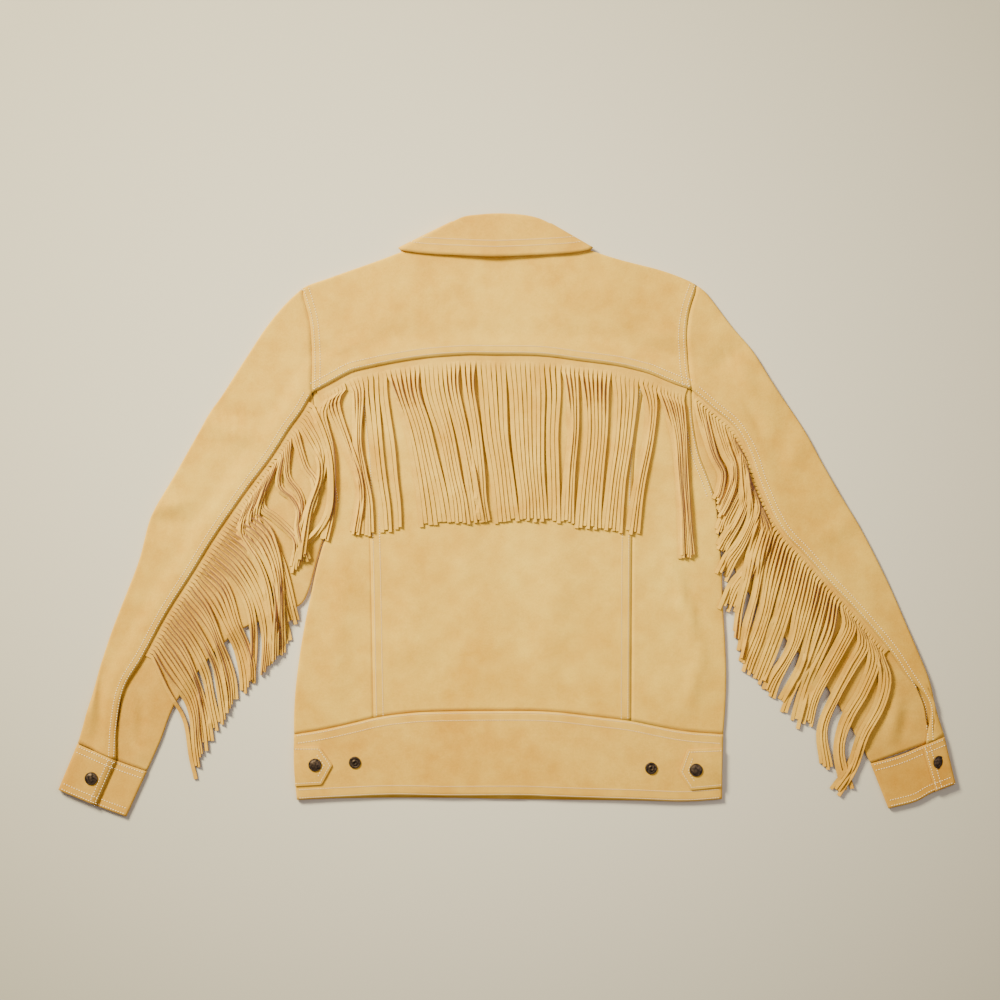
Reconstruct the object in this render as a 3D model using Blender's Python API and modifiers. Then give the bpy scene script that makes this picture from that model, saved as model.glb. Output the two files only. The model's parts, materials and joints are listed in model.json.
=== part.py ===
"""A fringed suede trucker jacket, laid flat with its back uppermost.

X runs across the jacket, Y from hem to collar and Z up from the surface that it lies on. The origin is
on that surface, under the middle of the whole outline. Tables are in millimetres, as a cutter would
measure them, and MM turns them into Blender's metres. L is the wearer's left, at -X, and R the right.
"""

import math
import random

import bmesh
import bpy
from mathutils import Vector
from mathutils.bvhtree import BVHTree

MM = 0.001

# Thickness of each kind of piece
SUEDE = 1.2
BAND_WALL = 1.6
CUFF_WALL = 1.8
COLLAR_WALL = 1.4
TAB_WALL = 1.8
STRAND_WALL = 1.0

# Middle height of each layer above the surface
LOWER = 0.6
UPPER = 4.0
FRONT_LAP = 2.2
UNDER_LAP = 3.6
STRIP = 5.1
OVER_LAP = 6.6
BAND_LOWER = 0.8
BAND_FRONT_LAP = 2.7
BAND_UPPER = 4.6
CUFF_LOWER = 0.9
CUFF_UPPER = 4.3
CUFF_OVER = 6.5

# Seams and edges
SEAM_GAP = 0.3
LAP_REACH = 32.0
LAP_FLAT = 11.0
LAP_NARROW = 0.45
LAP_UNDER_WIDTH = 7.0
RETURN_WIDTH = 12.0
RETURN_GROWTH = (1.5, 5.0, 9.0)
CORNER_GAP = 0.35
CUFF_GAP = 0.15
SLEEVE_LIFT = 0.5
TURN_STEPS = 3
SPAN_STEPS = 8

# Cells along each edge that two pieces share
ARM_UPPER_CELLS = 5
ARM_LOWER_CELLS = 5
SHOULDER_CELLS = 4
SIDE_CELLS = 8
SLEEVE_CELLS = 11
CENTRE_CELLS = 8
SIDE_PANEL_CELLS = 4
HEM_END_CELLS = 2

# The fold that each side of the jacket makes from the collar over the shoulder to the cuff's end
TOP_FOLD = {
    "L": {
        "shoulder": [(-113.9, 305.5), (-120.7, 303), (-144.9, 293.8), (-178.2, 282.3), (-210.4, 270.8),
                     (-235.7, 260.5)],
        "sleeve": [(-235.7, 260.5), (-269.1, 226.5), (-300.1, 180.8), (-329.5, 134.8), (-340, 121),
                   (-357, 90.8), (-382.9, 44.8), (-403.5, 10), (-411, -5), (-422, -49), (-435.8, -85.7),
                   (-454.2, -133), (-472.6, -189.2), (-481.8, -223.7), (-493.3, -261.6)],
        "cuff": [(-493.3, -261.6), (-505, -289), (-515.2, -314.5)],
    },
    "R": {
        "shoulder": [(90.9, 306), (99.5, 303.3), (129.9, 293.8), (175.9, 282.3), (207, 270.8),
                     (218.5, 264.5)],
        "sleeve": [(218.5, 264.5), (227.4, 258.3), (259.9, 215.3), (281.8, 190.3), (309.3, 146.3),
                   (340.4, 100.3), (365.7, 54.3), (386.4, 18.8), (407.1, -15.7), (425.5, -51.2),
                   (441.6, -84.7), (456.5, -119.2), (471.5, -154.7), (485.3, -189.2), (493.3, -223.7),
                   (502.5, -253.6)],
        "cuff": [(502.5, -253.6), (508.5, -281), (515.2, -307.6)],
    },
}

# The armhole seam, from the shoulder to the yoke's corner, and on to the armpit
ARMHOLE = {
    "L": {
        "upper": [(-235.7, 260.5), (-231.1, 245.4), (-226.5, 228.3), (-224.2, 213.3), (-223.1, 196.1),
                  (-222.4, 175.4), (-222.8, 155), (-223.1, 140.9)],
        "lower": [(-223.1, 140.9), (-217.3, 98.3), (-208, 52.3), (-201.2, 8.6)],
    },
    "R": {
        "upper": [(218.5, 264.5), (209.3, 237.5), (205.2, 208.7), (206.2, 186.9), (207.6, 165),
                  (211.6, 144.3)],
        "lower": [(211.6, 144.3), (213.4, 109.8), (220.3, 72), (230.5, 45), (239.3, 20)],
    },
}

# The fold down each side of the body, from the armpit to the waistband and on to the hem
SIDE_FOLD = {
    "L": {
        "panel": [(-201.2, 8.6), (-207.2, -20.1), (-213.4, -39.7), (-220.1, -65), (-225.6, -92.6),
                  (-230.2, -113), (-236.9, -151.2), (-242.6, -194.9), (-244.9, -230), (-244.9, -251.3)],
        "band": [(-244.9, -251.3), (-244.9, -288), (-241.5, -326.5)],
    },
    "R": {
        "panel": [(239.3, 20), (242, 4), (244.3, -24.7), (246.9, -62.7), (248.7, -111),
                  (250.7, -143.2), (252, -177.7), (251.3, -214), (248.6, -251.3)],
        "band": [(248.6, -251.3), (247.6, -288), (247.2, -325.6)],
    },
}

# The yoke's lower seam and the two back seams, then the waistband's edges, all from left to right
YOKE_SEAM = {
    "side_L": [(-223.1, 140.9), (-205, 150.5), (-180.5, 163.9), (-172.5, 166.5)],
    "centre": [(-172.5, 166.5), (-136.8, 174.2), (-93.1, 181.1), (-48.3, 184.4), (-14.9, 184.2),
               (39.1, 183.4), (83.9, 177.7), (127.6, 171.9), (158.7, 164.5)],
    "side_R": [(158.7, 164.5), (164.4, 162.7), (189, 152.3), (211.6, 144.3)],
}
BACK_SEAM = {
    "L": [(-172.5, 166.5), (-161, 75.3), (-156.4, -22.4), (-152.3, -232.4)],
    "R": [(158.7, 164.5), (146, 75.3), (142.6, -28.2), (141.4, -235.7)],
}
BAND_TOP = {
    "side_L": [(-244.9, -251.3), (-217.3, -247.2), (-187.4, -240.9), (-152.3, -232.4)],
    "centre": [(-152.3, -232.4), (-128.8, -228.7), (-85.1, -225.3), (14.9, -224.4), (58.6, -226),
               (97.7, -230.6), (141.4, -235.7)],
    "side_R": [(141.4, -235.7), (200.1, -247.2), (248.6, -251.3)],
}
BAND_HEM = [(-241.5, -326.5), (-190.9, -323.7), (-131.1, -321.4), (-67.8, -322.4), (14.9, -322.1),
            (62.1, -323.7), (150.6, -326.5), (203.5, -328.3), (247.2, -325.6)]

# The front waistband's edges from left to right; the front hems hang a little below the back one
FRONT_BAND_TOP = [(-234, -251), (-170, -239), (-90, -230), (0, -227.5), (90, -230), (170, -239),
                  (238, -251)]
FRONT_HEM = [(-241.5, -326.5), (-190, -325), (-131, -324.3), (-60, -324.6), (0, -325.8), (62, -326.6),
             (150, -327.6), (203.5, -328.3), (247.2, -325.6)]

# Where the front edges run: the left front rises and crosses over the right one's edge inside
FRONT_EDGE_X = {"L": -32.0, "R": -20.7}
LAP_RISE_X = -22.5
LAP_END_X = 20.0
FRONT_NECK_Y = 243.0
FRONT_NECK_ROWS = (232.0, 221.0, 209.0, 197.0)

# The fringed seam of each sleeve, from the yoke's corner to the cuff, and the fold on its inner side
SLEEVE_SEAM = {
    "L": [(-223.1, 140.9), (-236, 118.5), (-250.7, 98.3), (-270.2, 67.3), (-294.4, 35.1),
          (-313.9, 7.5), (-338.1, -28.2), (-361.1, -66.1), (-391, -113.3), (-417.4, -162.7),
          (-438.1, -198.4), (-446.2, -240.9), (-448.5, -281.2)],
    "R": [(211.6, 144.3), (235.4, 123.5), (256.4, 106.4), (267.9, 91.4), (279.4, 69.6),
          (287.2, 44.3), (294.4, 25.9), (304.8, 1.7), (319.7, -22.4), (340.4, -44), (370.3, -77.6),
          (394.4, -102.9), (414, -124.8), (440.4, -157), (458, -184), (472, -205.8),
          (479, -221), (479.5, -241), (480.7, -262.6)],
}
INNER_FOLD = {
    "L": [(-201.2, 8.6), (-208.4, -20.1), (-214.6, -39.7), (-221.5, -65), (-229, -90),
          (-242, -106), (-301.3, -129), (-328, -150), (-353, -177.7), (-381.8, -217.9),
          (-397.5, -258.2), (-413.4, -293.8)],
    "R": [(239.3, 20), (247.5, 0), (251.5, -24.7), (257, -52), (274.5, -85), (302.4, -122.5),
          (336.9, -160.4), (366.8, -197.2), (380.6, -217.9), (401.3, -254.7), (417.4, -284.6)],
}
CUFF_TOP = {
    "L": [(-493.3, -261.6), (-448.5, -281.2), (-413.4, -293.8)],
    "R": [(502.5, -253.6), (480.7, -262.6), (450.2, -275.4), (417.4, -284.6)],
}
CUFF_END = {
    "L": [(-515.2, -314.5), (-469.9, -333.5), (-437, -345.6)],
    "R": [(515.2, -307.6), (487.6, -318.4), (469.2, -328.5), (438.1, -336.4)],
}

# Where each cuff's outer end lies over the inner one: share of the way from the outer fold
CUFF_OVERLAP = {
    "L": {"inner_end": 0.24, "outer_end": 0.57},
    "R": {"inner_end": 0.06, "outer_end": 0.31},
}
CUFF_CELLS = 3

# Sections round the collar: the neck seam, the roll and the free edge at each, as x and y
COLLAR_BACK = [
    {"neck": (-113.9, 305.5), "roll": (-63.3, 335.6), "edge": (-121.5, 304.2)},
    {"neck": (-90, 308), "roll": (-50, 341.4), "edge": (-98, 300.6)},
    {"neck": (-50, 309.6), "roll": (-30, 343.6), "edge": (-55, 298.2)},
    {"neck": (-11.5, 309.9), "roll": (-8.1, 344.5), "edge": (-11.5, 296.7)},
    {"neck": (38, 309.4), "roll": (20, 342.8), "edge": (42, 298.8)},
    {"neck": (70, 308), "roll": (38, 339), "edge": (78, 301.4)},
    {"neck": (90.9, 306), "roll": (50.5, 333.4), "edge": (95.5, 304.6)},
]
COLLAR_WING = {
    "L": [
        {"neck": (-113.9, 305.5), "roll": (-63.3, 335.6), "edge": (-121.5, 304.2)},
        {"neck": (-90.9, 273.1), "roll": (-65.6, 305.3), "edge": (-116, 265.1)},
        {"neck": (-62, 255), "roll": (-52, 276.6), "edge": (-95, 240)},
        {"neck": (-32, 246.5), "roll": (-32, 258), "edge": (-72, 229.5)},
    ],
    "R": [
        {"neck": (90.9, 306), "roll": (50.5, 333.4), "edge": (95.5, 304.6)},
        {"neck": (72.5, 273.1), "roll": (47.2, 305.3), "edge": (93, 265.1)},
        {"neck": (41.4, 252.4), "roll": (31.6, 276.6), "edge": (73, 239)},
        {"neck": (4.6, 245.5), "roll": (4.6, 257), "edge": (46, 229.5)},
    ],
}
COLLAR_MIDDLE = 5.1
STAND_REACH = 1.4
FALL_REACH = 4.3
COLLAR_BACK_CELLS = 6
COLLAR_WING_CELLS = 4
COLLAR_TURN_STEPS = 3
FALL_CELLS = 2
FALL_EDGE_LIFT = 1.2

# The fronts and the yoke lie higher round the neck, where the collar's wings are under them
NECK_LIFT = {"front": 2.4, "back": 2.0}
NECK_MIDDLE_X = -11.5
NECK_HALF_WIDTH = (125.0, 178.0)
NECK_LOWEST_Y = (197.0, 221.0)

# Waist tabs: outline from the side seam to the pointed end and back
TAB_OUTLINE = {
    "L": [(-243.6, -265.1), (-215, -265.1), (-200.1, -286.3), (-212.7, -308.8), (-243.2, -310.6)],
    "R": [(246.6, -266.7), (207, -268.5), (197.8, -295), (210.4, -315), (246.2, -311.5)],
}
TAB_BOTTOM = 5.7

# Snaps: where each sits, how high its seat is and how far it leans about the cuff's rolled edge
CAP_RADIUS = 7.5
CAP_HEIGHT = 2.4
STUD_RADIUS = 6.9
STUD_HEIGHT = 3.4
SNAP_STEPS = 14
SNAPS = [
    {"name": "snap_tab_L", "kind": "cap", "place": (-220.2, -286.0, 7.8)},
    {"name": "snap_tab_R", "kind": "cap", "place": (216.8, -291.8, 7.8)},
    {"name": "snap_cuff_L", "kind": "cap", "place": (-476.7, -301.5, 7.7)},
    {"name": "snap_cuff_R", "kind": "cap", "place": (495.0, -282.8, 7.7)},
    {"name": "snap_stud_L", "kind": "stud", "place": (-174.6, -283.4, 5.7)},
    {"name": "snap_stud_R", "kind": "stud", "place": (165.4, -290.0, 5.7)},
]

# Main creases of the upper layer: a soft ridge (+) or trough (-) between two places
CREASES = [
    {"start": (-339, 127), "end": (-301, 104), "width": 9, "height": -1.3},
    {"start": (-345, 112), "end": (-295, 85), "width": 11, "height": 1.4},
    {"start": (-403, 8), "end": (-372, 12), "width": 9, "height": 1.3},
    {"start": (-465, -190), "end": (-452, -250), "width": 10, "height": -1.2},
    {"start": (-425, -205), "end": (-437, -255), "width": 9, "height": 1.3},
    {"start": (-222, 188), "end": (-148, 176), "width": 12, "height": -1.2},
    {"start": (-222, 172), "end": (-165, 200), "width": 10, "height": 1.2},
    {"start": (274, 196), "end": (236, 168), "width": 10, "height": -1.2},
    {"start": (290, 172), "end": (262, 120), "width": 12, "height": 1.3},
    {"start": (460, -200), "end": (470, -250), "width": 9, "height": 1.2},
    {"start": (153, 190), "end": (206, 178), "width": 12, "height": -1.2},
    {"start": (197, -66), "end": (226, -160), "width": 12, "height": 1.4},
    {"start": (226, -160), "end": (212, -216), "width": 12, "height": 1.2},
    {"start": (-60, 60), "end": (-40, -40), "width": 16, "height": 1.0},
    {"start": (60, -60), "end": (40, -180), "width": 18, "height": 1.0},
]

# Fringes: the strip's seam, how many strands, and the way of a few of them, the others between.
# root is the share of the strip; bend, low and tip are where such a strand passes and ends.
STRIP_INSIDE = 8.0
STRIP_OUTSIDE = 6.0
ROOT_STEP = 14.0
SOFTEN = 3
STRAND_CLEAR = 0.4
STRAND_GAP = 1.1
STRAND_LEAST = 1.4
STRAND_LAYERS = 2
STRAND_SAMPLES = 10
STRAND_ACROSS = (-0.53, -0.27, 0.0, 0.27, 0.53)
FLOOR_CLEAR = 0.5
SKY = 60.0
FRINGES = [
    {
        "name": "fringe_back", "seam": YOKE_SEAM, "out": -1, "strands": 80, "width": 4.2,
        "start": 5.0, "stop": 5.0, "jitter": 2.0, "seed": 3,
        "guides": [
            {"root": 0.00, "low": (-187, 57), "tip": (-175, -20)},
            {"root": 0.06, "low": (-172, 53), "tip": (-160, -21)},
            {"root": 0.11, "low": (-158, 55), "tip": (-146, -20)},
            {"root": 0.185, "low": (-129, 74), "tip": (-123, -12)},
            {"root": 0.20, "low": (-115, 75), "tip": (-97, -9)},
            {"root": 0.28, "low": (-88, 75), "tip": (-75, -9)},
            {"root": 0.44, "low": (-19, 80), "tip": (-12, -8)},
            {"root": 0.60, "low": (38, 80), "tip": (28, -7)},
            {"root": 0.72, "low": (93, 78), "tip": (83, -10)},
            {"root": 0.84, "low": (134, 76), "tip": (122, -18)},
            {"root": 0.89, "low": (152, 73), "tip": (150, -25)},
            {"root": 0.905, "low": (172, 70), "tip": (183, -38)},
            {"root": 1.00, "low": (204, 62), "tip": (213, -58)},
        ],
    },
    {
        "name": "fringe_sleeve_L", "seam": SLEEVE_SEAM["L"], "out": 1, "strands": 58, "width": 4.1,
        "start": 11.0, "stop": 142.0, "jitter": 1.6, "seed": 5,
        "guides": [
            {"root": 0.00, "bend": (-205, 92), "low": (-202, 25), "tip": (-211, -50)},
            {"root": 0.08, "bend": (-216, 72), "low": (-211, 5), "tip": (-219, -76)},
            {"root": 0.18, "bend": (-231, 45), "low": (-224, -18), "tip": (-230, -100)},
            {"root": 0.30, "bend": (-250, 8), "low": (-240, -52), "tip": (-244, -131)},
            {"root": 0.42, "bend": (-272, -16), "low": (-256, -84), "tip": (-257, -156)},
            {"root": 0.52, "bend": (-288, -42), "low": (-271, -104), "tip": (-272, -172)},
            {"root": 0.62, "bend": (-304, -62), "low": (-286, -124), "tip": (-288, -189)},
            {"root": 0.72, "bend": (-320, -88), "low": (-303, -146), "tip": (-305, -210)},
            {"root": 0.80, "bend": (-338, -108), "low": (-320, -164), "tip": (-320, -232)},
            {"root": 0.88, "bend": (-357, -130), "low": (-339, -190), "tip": (-335, -260)},
            {"root": 0.95, "bend": (-376, -152), "low": (-355, -214), "tip": (-350, -286)},
            {"root": 1.00, "bend": (-394, -174), "low": (-370, -236), "tip": (-364, -304)},
        ],
    },
    {
        "name": "fringe_sleeve_R", "seam": SLEEVE_SEAM["R"], "out": -1, "strands": 60, "width": 4.1,
        "start": 11.0, "stop": 126.0, "jitter": 1.6, "seed": 8,
        "guides": [
            {"root": 0.00, "bend": (207, 98), "low": (204, 42), "tip": (207, -36)},
            {"root": 0.08, "bend": (220, 80), "low": (216, 24), "tip": (219, -52)},
            {"root": 0.16, "bend": (238, 60), "low": (232, 4), "tip": (231, -70)},
            {"root": 0.25, "bend": (250, 36), "low": (246, -18), "tip": (243, -92)},
            {"root": 0.35, "bend": (266, -4), "low": (260, -48), "tip": (252, -112)},
            {"root": 0.42, "bend": (279, -30), "low": (271, -78), "tip": (259, -137)},
            {"root": 0.50, "bend": (298, -56), "low": (288, -102), "tip": (269, -166)},
            {"root": 0.58, "bend": (319, -80), "low": (305, -130), "tip": (283, -190)},
            {"root": 0.66, "bend": (340, -102), "low": (324, -156), "tip": (301, -203)},
            {"root": 0.74, "bend": (360, -124), "low": (340, -176), "tip": (324, -226)},
            {"root": 0.82, "bend": (382, -148), "low": (358, -204), "tip": (345, -248)},
            {"root": 0.90, "bend": (402, -172), "low": (378, -234), "tip": (368, -288)},
            {"root": 1.00, "bend": (430, -206), "low": (408, -262), "tip": (399, -312)},
        ],
    },
]

COLOURS = {
    "suede": (0.72, 0.50, 0.22, 1.0),
    "suede_under": (0.66, 0.45, 0.19, 1.0),
    "suede_band": (0.70, 0.48, 0.21, 1.0),
    "suede_fringe": (0.56, 0.37, 0.17, 1.0),
    "dark_metal": (0.035, 0.025, 0.02, 1.0),
}


def material(name, metallic=0.0, roughness=0.9):
    """A plain surface in one of the jacket's colours."""
    surface = bpy.data.materials.new(name)
    surface.use_nodes = True
    shader = surface.node_tree.nodes["Principled BSDF"]
    shader.inputs["Base Color"].default_value = COLOURS[name]
    shader.inputs["Metallic"].default_value = metallic
    shader.inputs["Roughness"].default_value = roughness
    return surface


def smooth(knots):
    """Close points along a soft curve that passes through every knot."""
    points = [Vector(knot) for knot in knots]
    reached = [points[0] * 2 - points[1], *points, points[-1] * 2 - points[-2]]
    curve = []
    for before, here, after, beyond in zip(reached, reached[1:], reached[2:], reached[3:]):
        for step in range(SPAN_STEPS):
            share = step / SPAN_STEPS
            curve.append(0.5 * (2 * here + (after - before) * share
                                + (2 * before - 5 * here + 4 * after - beyond) * share ** 2
                                + (3 * here - before - 3 * after + beyond) * share ** 3))
    return [*curve, points[-1]]


def lengths(points):
    """How far along the line each point lies."""
    reached = [0.0]
    for here, after in zip(points, points[1:]):
        reached.append(reached[-1] + (after - here).length)
    return reached


def along(points, distance):
    """The place at a distance along a line of points."""
    reached = lengths(points)
    for index in range(len(points) - 1):
        if distance <= reached[index + 1] or index == len(points) - 2:
            step = reached[index + 1] - reached[index]
            return points[index].lerp(points[index + 1], (distance - reached[index]) / step)
    return points[-1]


def spaced(points, cells, start=0.0, stop=0.0):
    """Evenly spaced places on a line, from start after its first point to stop before its last."""
    whole = lengths(points)[-1] - start - stop
    return [along(points, start + whole * index / cells) for index in range(cells + 1)]


def left_of(points):
    """The unit direction to the left of travel at each point of a line."""
    sides = []
    for index in range(len(points)):
        way = points[min(index + 1, len(points) - 1)] - points[max(index - 1, 0)]
        sides.append(Vector((-way.y, way.x)).normalized())
    return sides


def moved(points, directions, distances):
    """Each point moved its own distance along its own direction."""
    return [point + way * distance for point, way, distance in zip(points, directions, distances)]


def soft_step(share):
    """0 below 0, 1 above 1 and a soft rise between."""
    held = min(max(share, 0.0), 1.0)
    return held * held * (3 - 2 * held)


def nearness(point, line):
    """1 within the flat of a lap along a seam, falling softly to 0 at its reach."""
    nearest = min((dot - point).length for dot in line)
    return soft_step((LAP_REACH - nearest) / (LAP_REACH - LAP_FLAT - 1))


def around_neck(point):
    """1 over the collar's wings, falling softly to 0 round them."""
    inner, outer = NECK_HALF_WIDTH
    across = soft_step((outer - abs(point.x - NECK_MIDDLE_X)) / (outer - inner))
    lowest, full = NECK_LOWEST_Y
    return across * soft_step((point.y - lowest) / (full - lowest))


def crease_height(point):
    """The height that all creases together give the upper layer at a place."""
    height = 0.0
    for crease in CREASES:
        start = Vector(crease["start"])
        way = Vector(crease["end"]) - start
        share = min(max((point - start).dot(way) / way.length_squared, 0.0), 1.0)
        away = (point - start - way * share).length / crease["width"]
        height += crease["height"] * math.exp(-away * away)
    return height


def lower_height(point):
    return LOWER + NECK_LIFT["front"] * around_neck(point)


def upper_height(seam, lap):
    """A height rule for an upper piece that meets a fringed seam at the given lap height."""
    def height(point):
        near = nearness(point, seam)
        raised = max(NECK_LIFT["back"] * around_neck(point), (lap - UPPER) * near)
        if lap < UPPER:
            raised = (lap - UPPER) * near
        return UPPER + raised + crease_height(point) * (1 - near)
    return height


class Sheet:
    """A piece of cloth as a grid of points, with edges that can be carried on."""

    def __init__(self, rows):
        """Takes rows of 3-D points; every row has as many points as the first."""
        self.mesh = bmesh.new()
        across = len(rows[0]) - 1
        down = len(rows) - 1
        bmesh.ops.create_grid(self.mesh, x_segments=across, y_segments=down, size=0.5)
        self.grid = {}
        for vert in self.mesh.verts:
            column = round((vert.co.x + 0.5) * across)
            row = round((vert.co.y + 0.5) * down)
            self.grid[row, column] = vert
        for (row, column), vert in self.grid.items():
            vert.co = rows[row][column]

    def column(self, index, first=0):
        """The points down one side of the grid."""
        last = max(column for _, column in self.grid)
        chosen = last if index < 0 else index
        down = max(row for row, _ in self.grid)
        return [self.grid[row, chosen] for row in range(first, down + 1)]

    def row(self, index, first=0, last=None):
        """The points across one end of the grid."""
        down = max(row for row, _ in self.grid)
        chosen = down if index < 0 else index
        across = max(column for _, column in self.grid)
        return [self.grid[chosen, column] for column in range(first, (last or across) + 1)]

    def carry_on(self, edge, points):
        """Extrudes an edge of the cloth once, to the given points, and returns the new edge."""
        links = [self.mesh.edges.get(pair) for pair in zip(edge, edge[1:])]
        made = bmesh.ops.extrude_edge_only(self.mesh, edges=links)
        fresh = {item for item in made["geom"] if isinstance(item, bmesh.types.BMVert)}
        new_edge = []
        for vert in edge:
            partner = next(link.other_vert(vert) for link in vert.link_edges
                           if link.other_vert(vert) in fresh)
            new_edge.append(partner)
        for vert, point in zip(new_edge, points):
            vert.co = point
        return new_edge

    def turn_under(self, edge, directions, floor_height, ramp, steps=TURN_STEPS):
        """Rolls an edge round to the lower layer, each point outward along its direction."""
        start = [vert.co.copy() for vert in edge]
        for step in range(1, steps + 1):
            angle = math.pi * step / steps
            points = []
            for point, way, grown in zip(start, directions, ramp):
                low = floor_height(point.xy)
                reach = (point.z - low) / 2
                out = way * (reach * math.sin(angle) * grown)
                points.append(Vector((point.x + out.x, point.y + out.y,
                                      low + reach + reach * math.cos(angle))))
            edge = self.carry_on(edge, points)
        return edge

    def keep_above(self, line, lift):
        """Moves what would reach below a seam that runs across, such as the top of a cuff, up to it."""
        for vert in self.mesh.verts:
            lowest = at_x(line, vert.co.x, lift).y
            vert.co.y = max(vert.co.y, lowest)

    def finish(self, name, wall, surface, collection):
        """Gives the cloth its thickness as a named object."""
        bmesh.ops.recalc_face_normals(self.mesh, faces=self.mesh.faces)
        for vert in self.mesh.verts:
            vert.co *= MM
        data = bpy.data.meshes.new(name)
        self.mesh.to_mesh(data)
        self.mesh.free()
        piece = bpy.data.objects.new(name, data)
        data.materials.append(surface)
        collection.objects.link(piece)
        solid = piece.modifiers.new("wall", "SOLIDIFY")
        solid.thickness = wall * MM
        solid.offset = 0.0
        solid.use_even_offset = True
        solid.use_quality_normals = True
        return piece


def patch(first, last, left, right):
    """Rows of plan points that fill the space between four lines, the rows running down."""
    across = len(first) - 1
    down = len(left) - 1
    first = [left[0], *first[1:-1], right[0]]
    last = [left[-1], *last[1:-1], right[-1]]
    rows = []
    for row in range(down + 1):
        v = row / down
        points = []
        for column in range(across + 1):
            u = column / across
            blend = (first[column] * (1 - v) + last[column] * v + left[row] * (1 - u) + right[row] * u)
            corners = ((first[0] * (1 - u) + first[-1] * u) * (1 - v)
                       + (last[0] * (1 - u) + last[-1] * u) * v)
            points.append(blend - corners)
        rows.append(points)
    return rows


def raised(rows, height):
    """Plan rows as 3-D rows on a height rule."""
    return [[Vector((point.x, point.y, height(point))) for point in row] for row in rows]


def join(*lines):
    """Lines end to end as one, without their doubled ends."""
    whole = list(lines[0])
    for line in lines[1:]:
        whole.extend(line[1:])
    return whole


def seam_line(parts):
    """The close points of a seam, given whole or in parts from left to right."""
    if isinstance(parts, dict):
        return join(*(smooth(part) for part in parts.values()))
    return smooth(parts)


def fold_base(points, inward, height, floor_height, wall, sharp_start=False):
    """Where the flat cloth ends before it rolls round a fold, and how much of the roll each point has.

    With sharp_start the first point, an armpit, has no roll: the cloth goes straight down there.
    """
    ramp = [1.0] * len(points)
    if sharp_start:
        ramp[0] = 0.0
    base = []
    for point, way, grown in zip(points, inward, ramp):
        reach = (height(point) - floor_height(point)) / 2
        base.append(point + way * (wall / 2 + SEAM_GAP / 2 + reach * grown))
    return base, ramp


def inward_of(line, side):
    """The direction into a piece that lies to the left (1) or right (-1) of a line."""
    return [way * side for way in left_of(line)]


def shorten(line, index, distance=CORNER_GAP):
    """Moves a line's first (0) or last (-1) point along it, away from its neighbour's corner."""
    other = 1 if index == 0 else -2
    line[index] = line[index] + (line[other] - line[index]).normalized() * distance


def at_x(line, x, lift=0.0):
    """The place where a line that runs across reaches x, or its nearer end, lifted by a gap."""
    ordered = sorted(line, key=lambda point: point.x)
    for here, after in zip(ordered, ordered[1:]):
        if x <= after.x or after is ordered[-1]:
            share = (x - here.x) / (after.x - here.x)
            return Vector((x, here.y + (after.y - here.y) * share + lift))
    return ordered[-1]


def inset(line, side, distance=SEAM_GAP / 2):
    """A seam line moved into its own piece, by half a gap or more."""
    return moved(line, inward_of(line, side), [distance] * len(line))


class Jacket:
    """All lines that two or more pieces share, each with as many points as its pieces need."""

    def __init__(self):
        self.side = {}
        for name, hand in (("L", 1), ("R", -1)):
            shared = {"hand": hand}
            top = smooth(TOP_FOLD[name]["shoulder"][:-1] + TOP_FOLD[name]["sleeve"])
            turn = (len(TOP_FOLD[name]["shoulder"]) - 1) * SPAN_STEPS
            shared["shoulder"] = spaced(top[:turn + 1], SHOULDER_CELLS)
            shared["outer"] = spaced(top[turn:], SLEEVE_CELLS)
            shoulder_in = inward_of(shared["shoulder"], hand)
            outer_in = inward_of(shared["outer"], hand)
            shared_turn = (shoulder_in[-1] + outer_in[0]).normalized()
            shoulder_in[-1] = shared_turn
            outer_in[0] = shared_turn
            shared["shoulder_in"] = shoulder_in
            shared["outer_in"] = outer_in
            arm = smooth(ARMHOLE[name]["upper"])
            shared["arm_upper"] = [*spaced(arm, ARM_UPPER_CELLS, 0, LAP_FLAT), arm[-1]]
            shared["arm_lower"] = spaced(smooth(ARMHOLE[name]["lower"]), ARM_LOWER_CELLS)
            shared["side"] = spaced(smooth(SIDE_FOLD[name]["panel"]), SIDE_CELLS)
            shared["side_in"] = inward_of(shared["side"], hand)
            shared["seam"] = spaced(smooth(SLEEVE_SEAM[name]), SLEEVE_CELLS)
            shared["inner"] = spaced(smooth(INNER_FOLD[name]), SLEEVE_CELLS)
            shared["inner_in"] = inward_of(shared["inner"], -hand)
            shared["back_seam"] = spaced(smooth(BACK_SEAM[name]), ARM_LOWER_CELLS + SIDE_CELLS)
            self.side[name] = shared
        self.yoke_seam = seam_line(YOKE_SEAM)
        self.wing = {name: collar_lines(COLLAR_WING[name], COLLAR_WING_CELLS) for name in "LR"}
        self.collar_back = collar_lines(COLLAR_BACK, COLLAR_BACK_CELLS)


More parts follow.
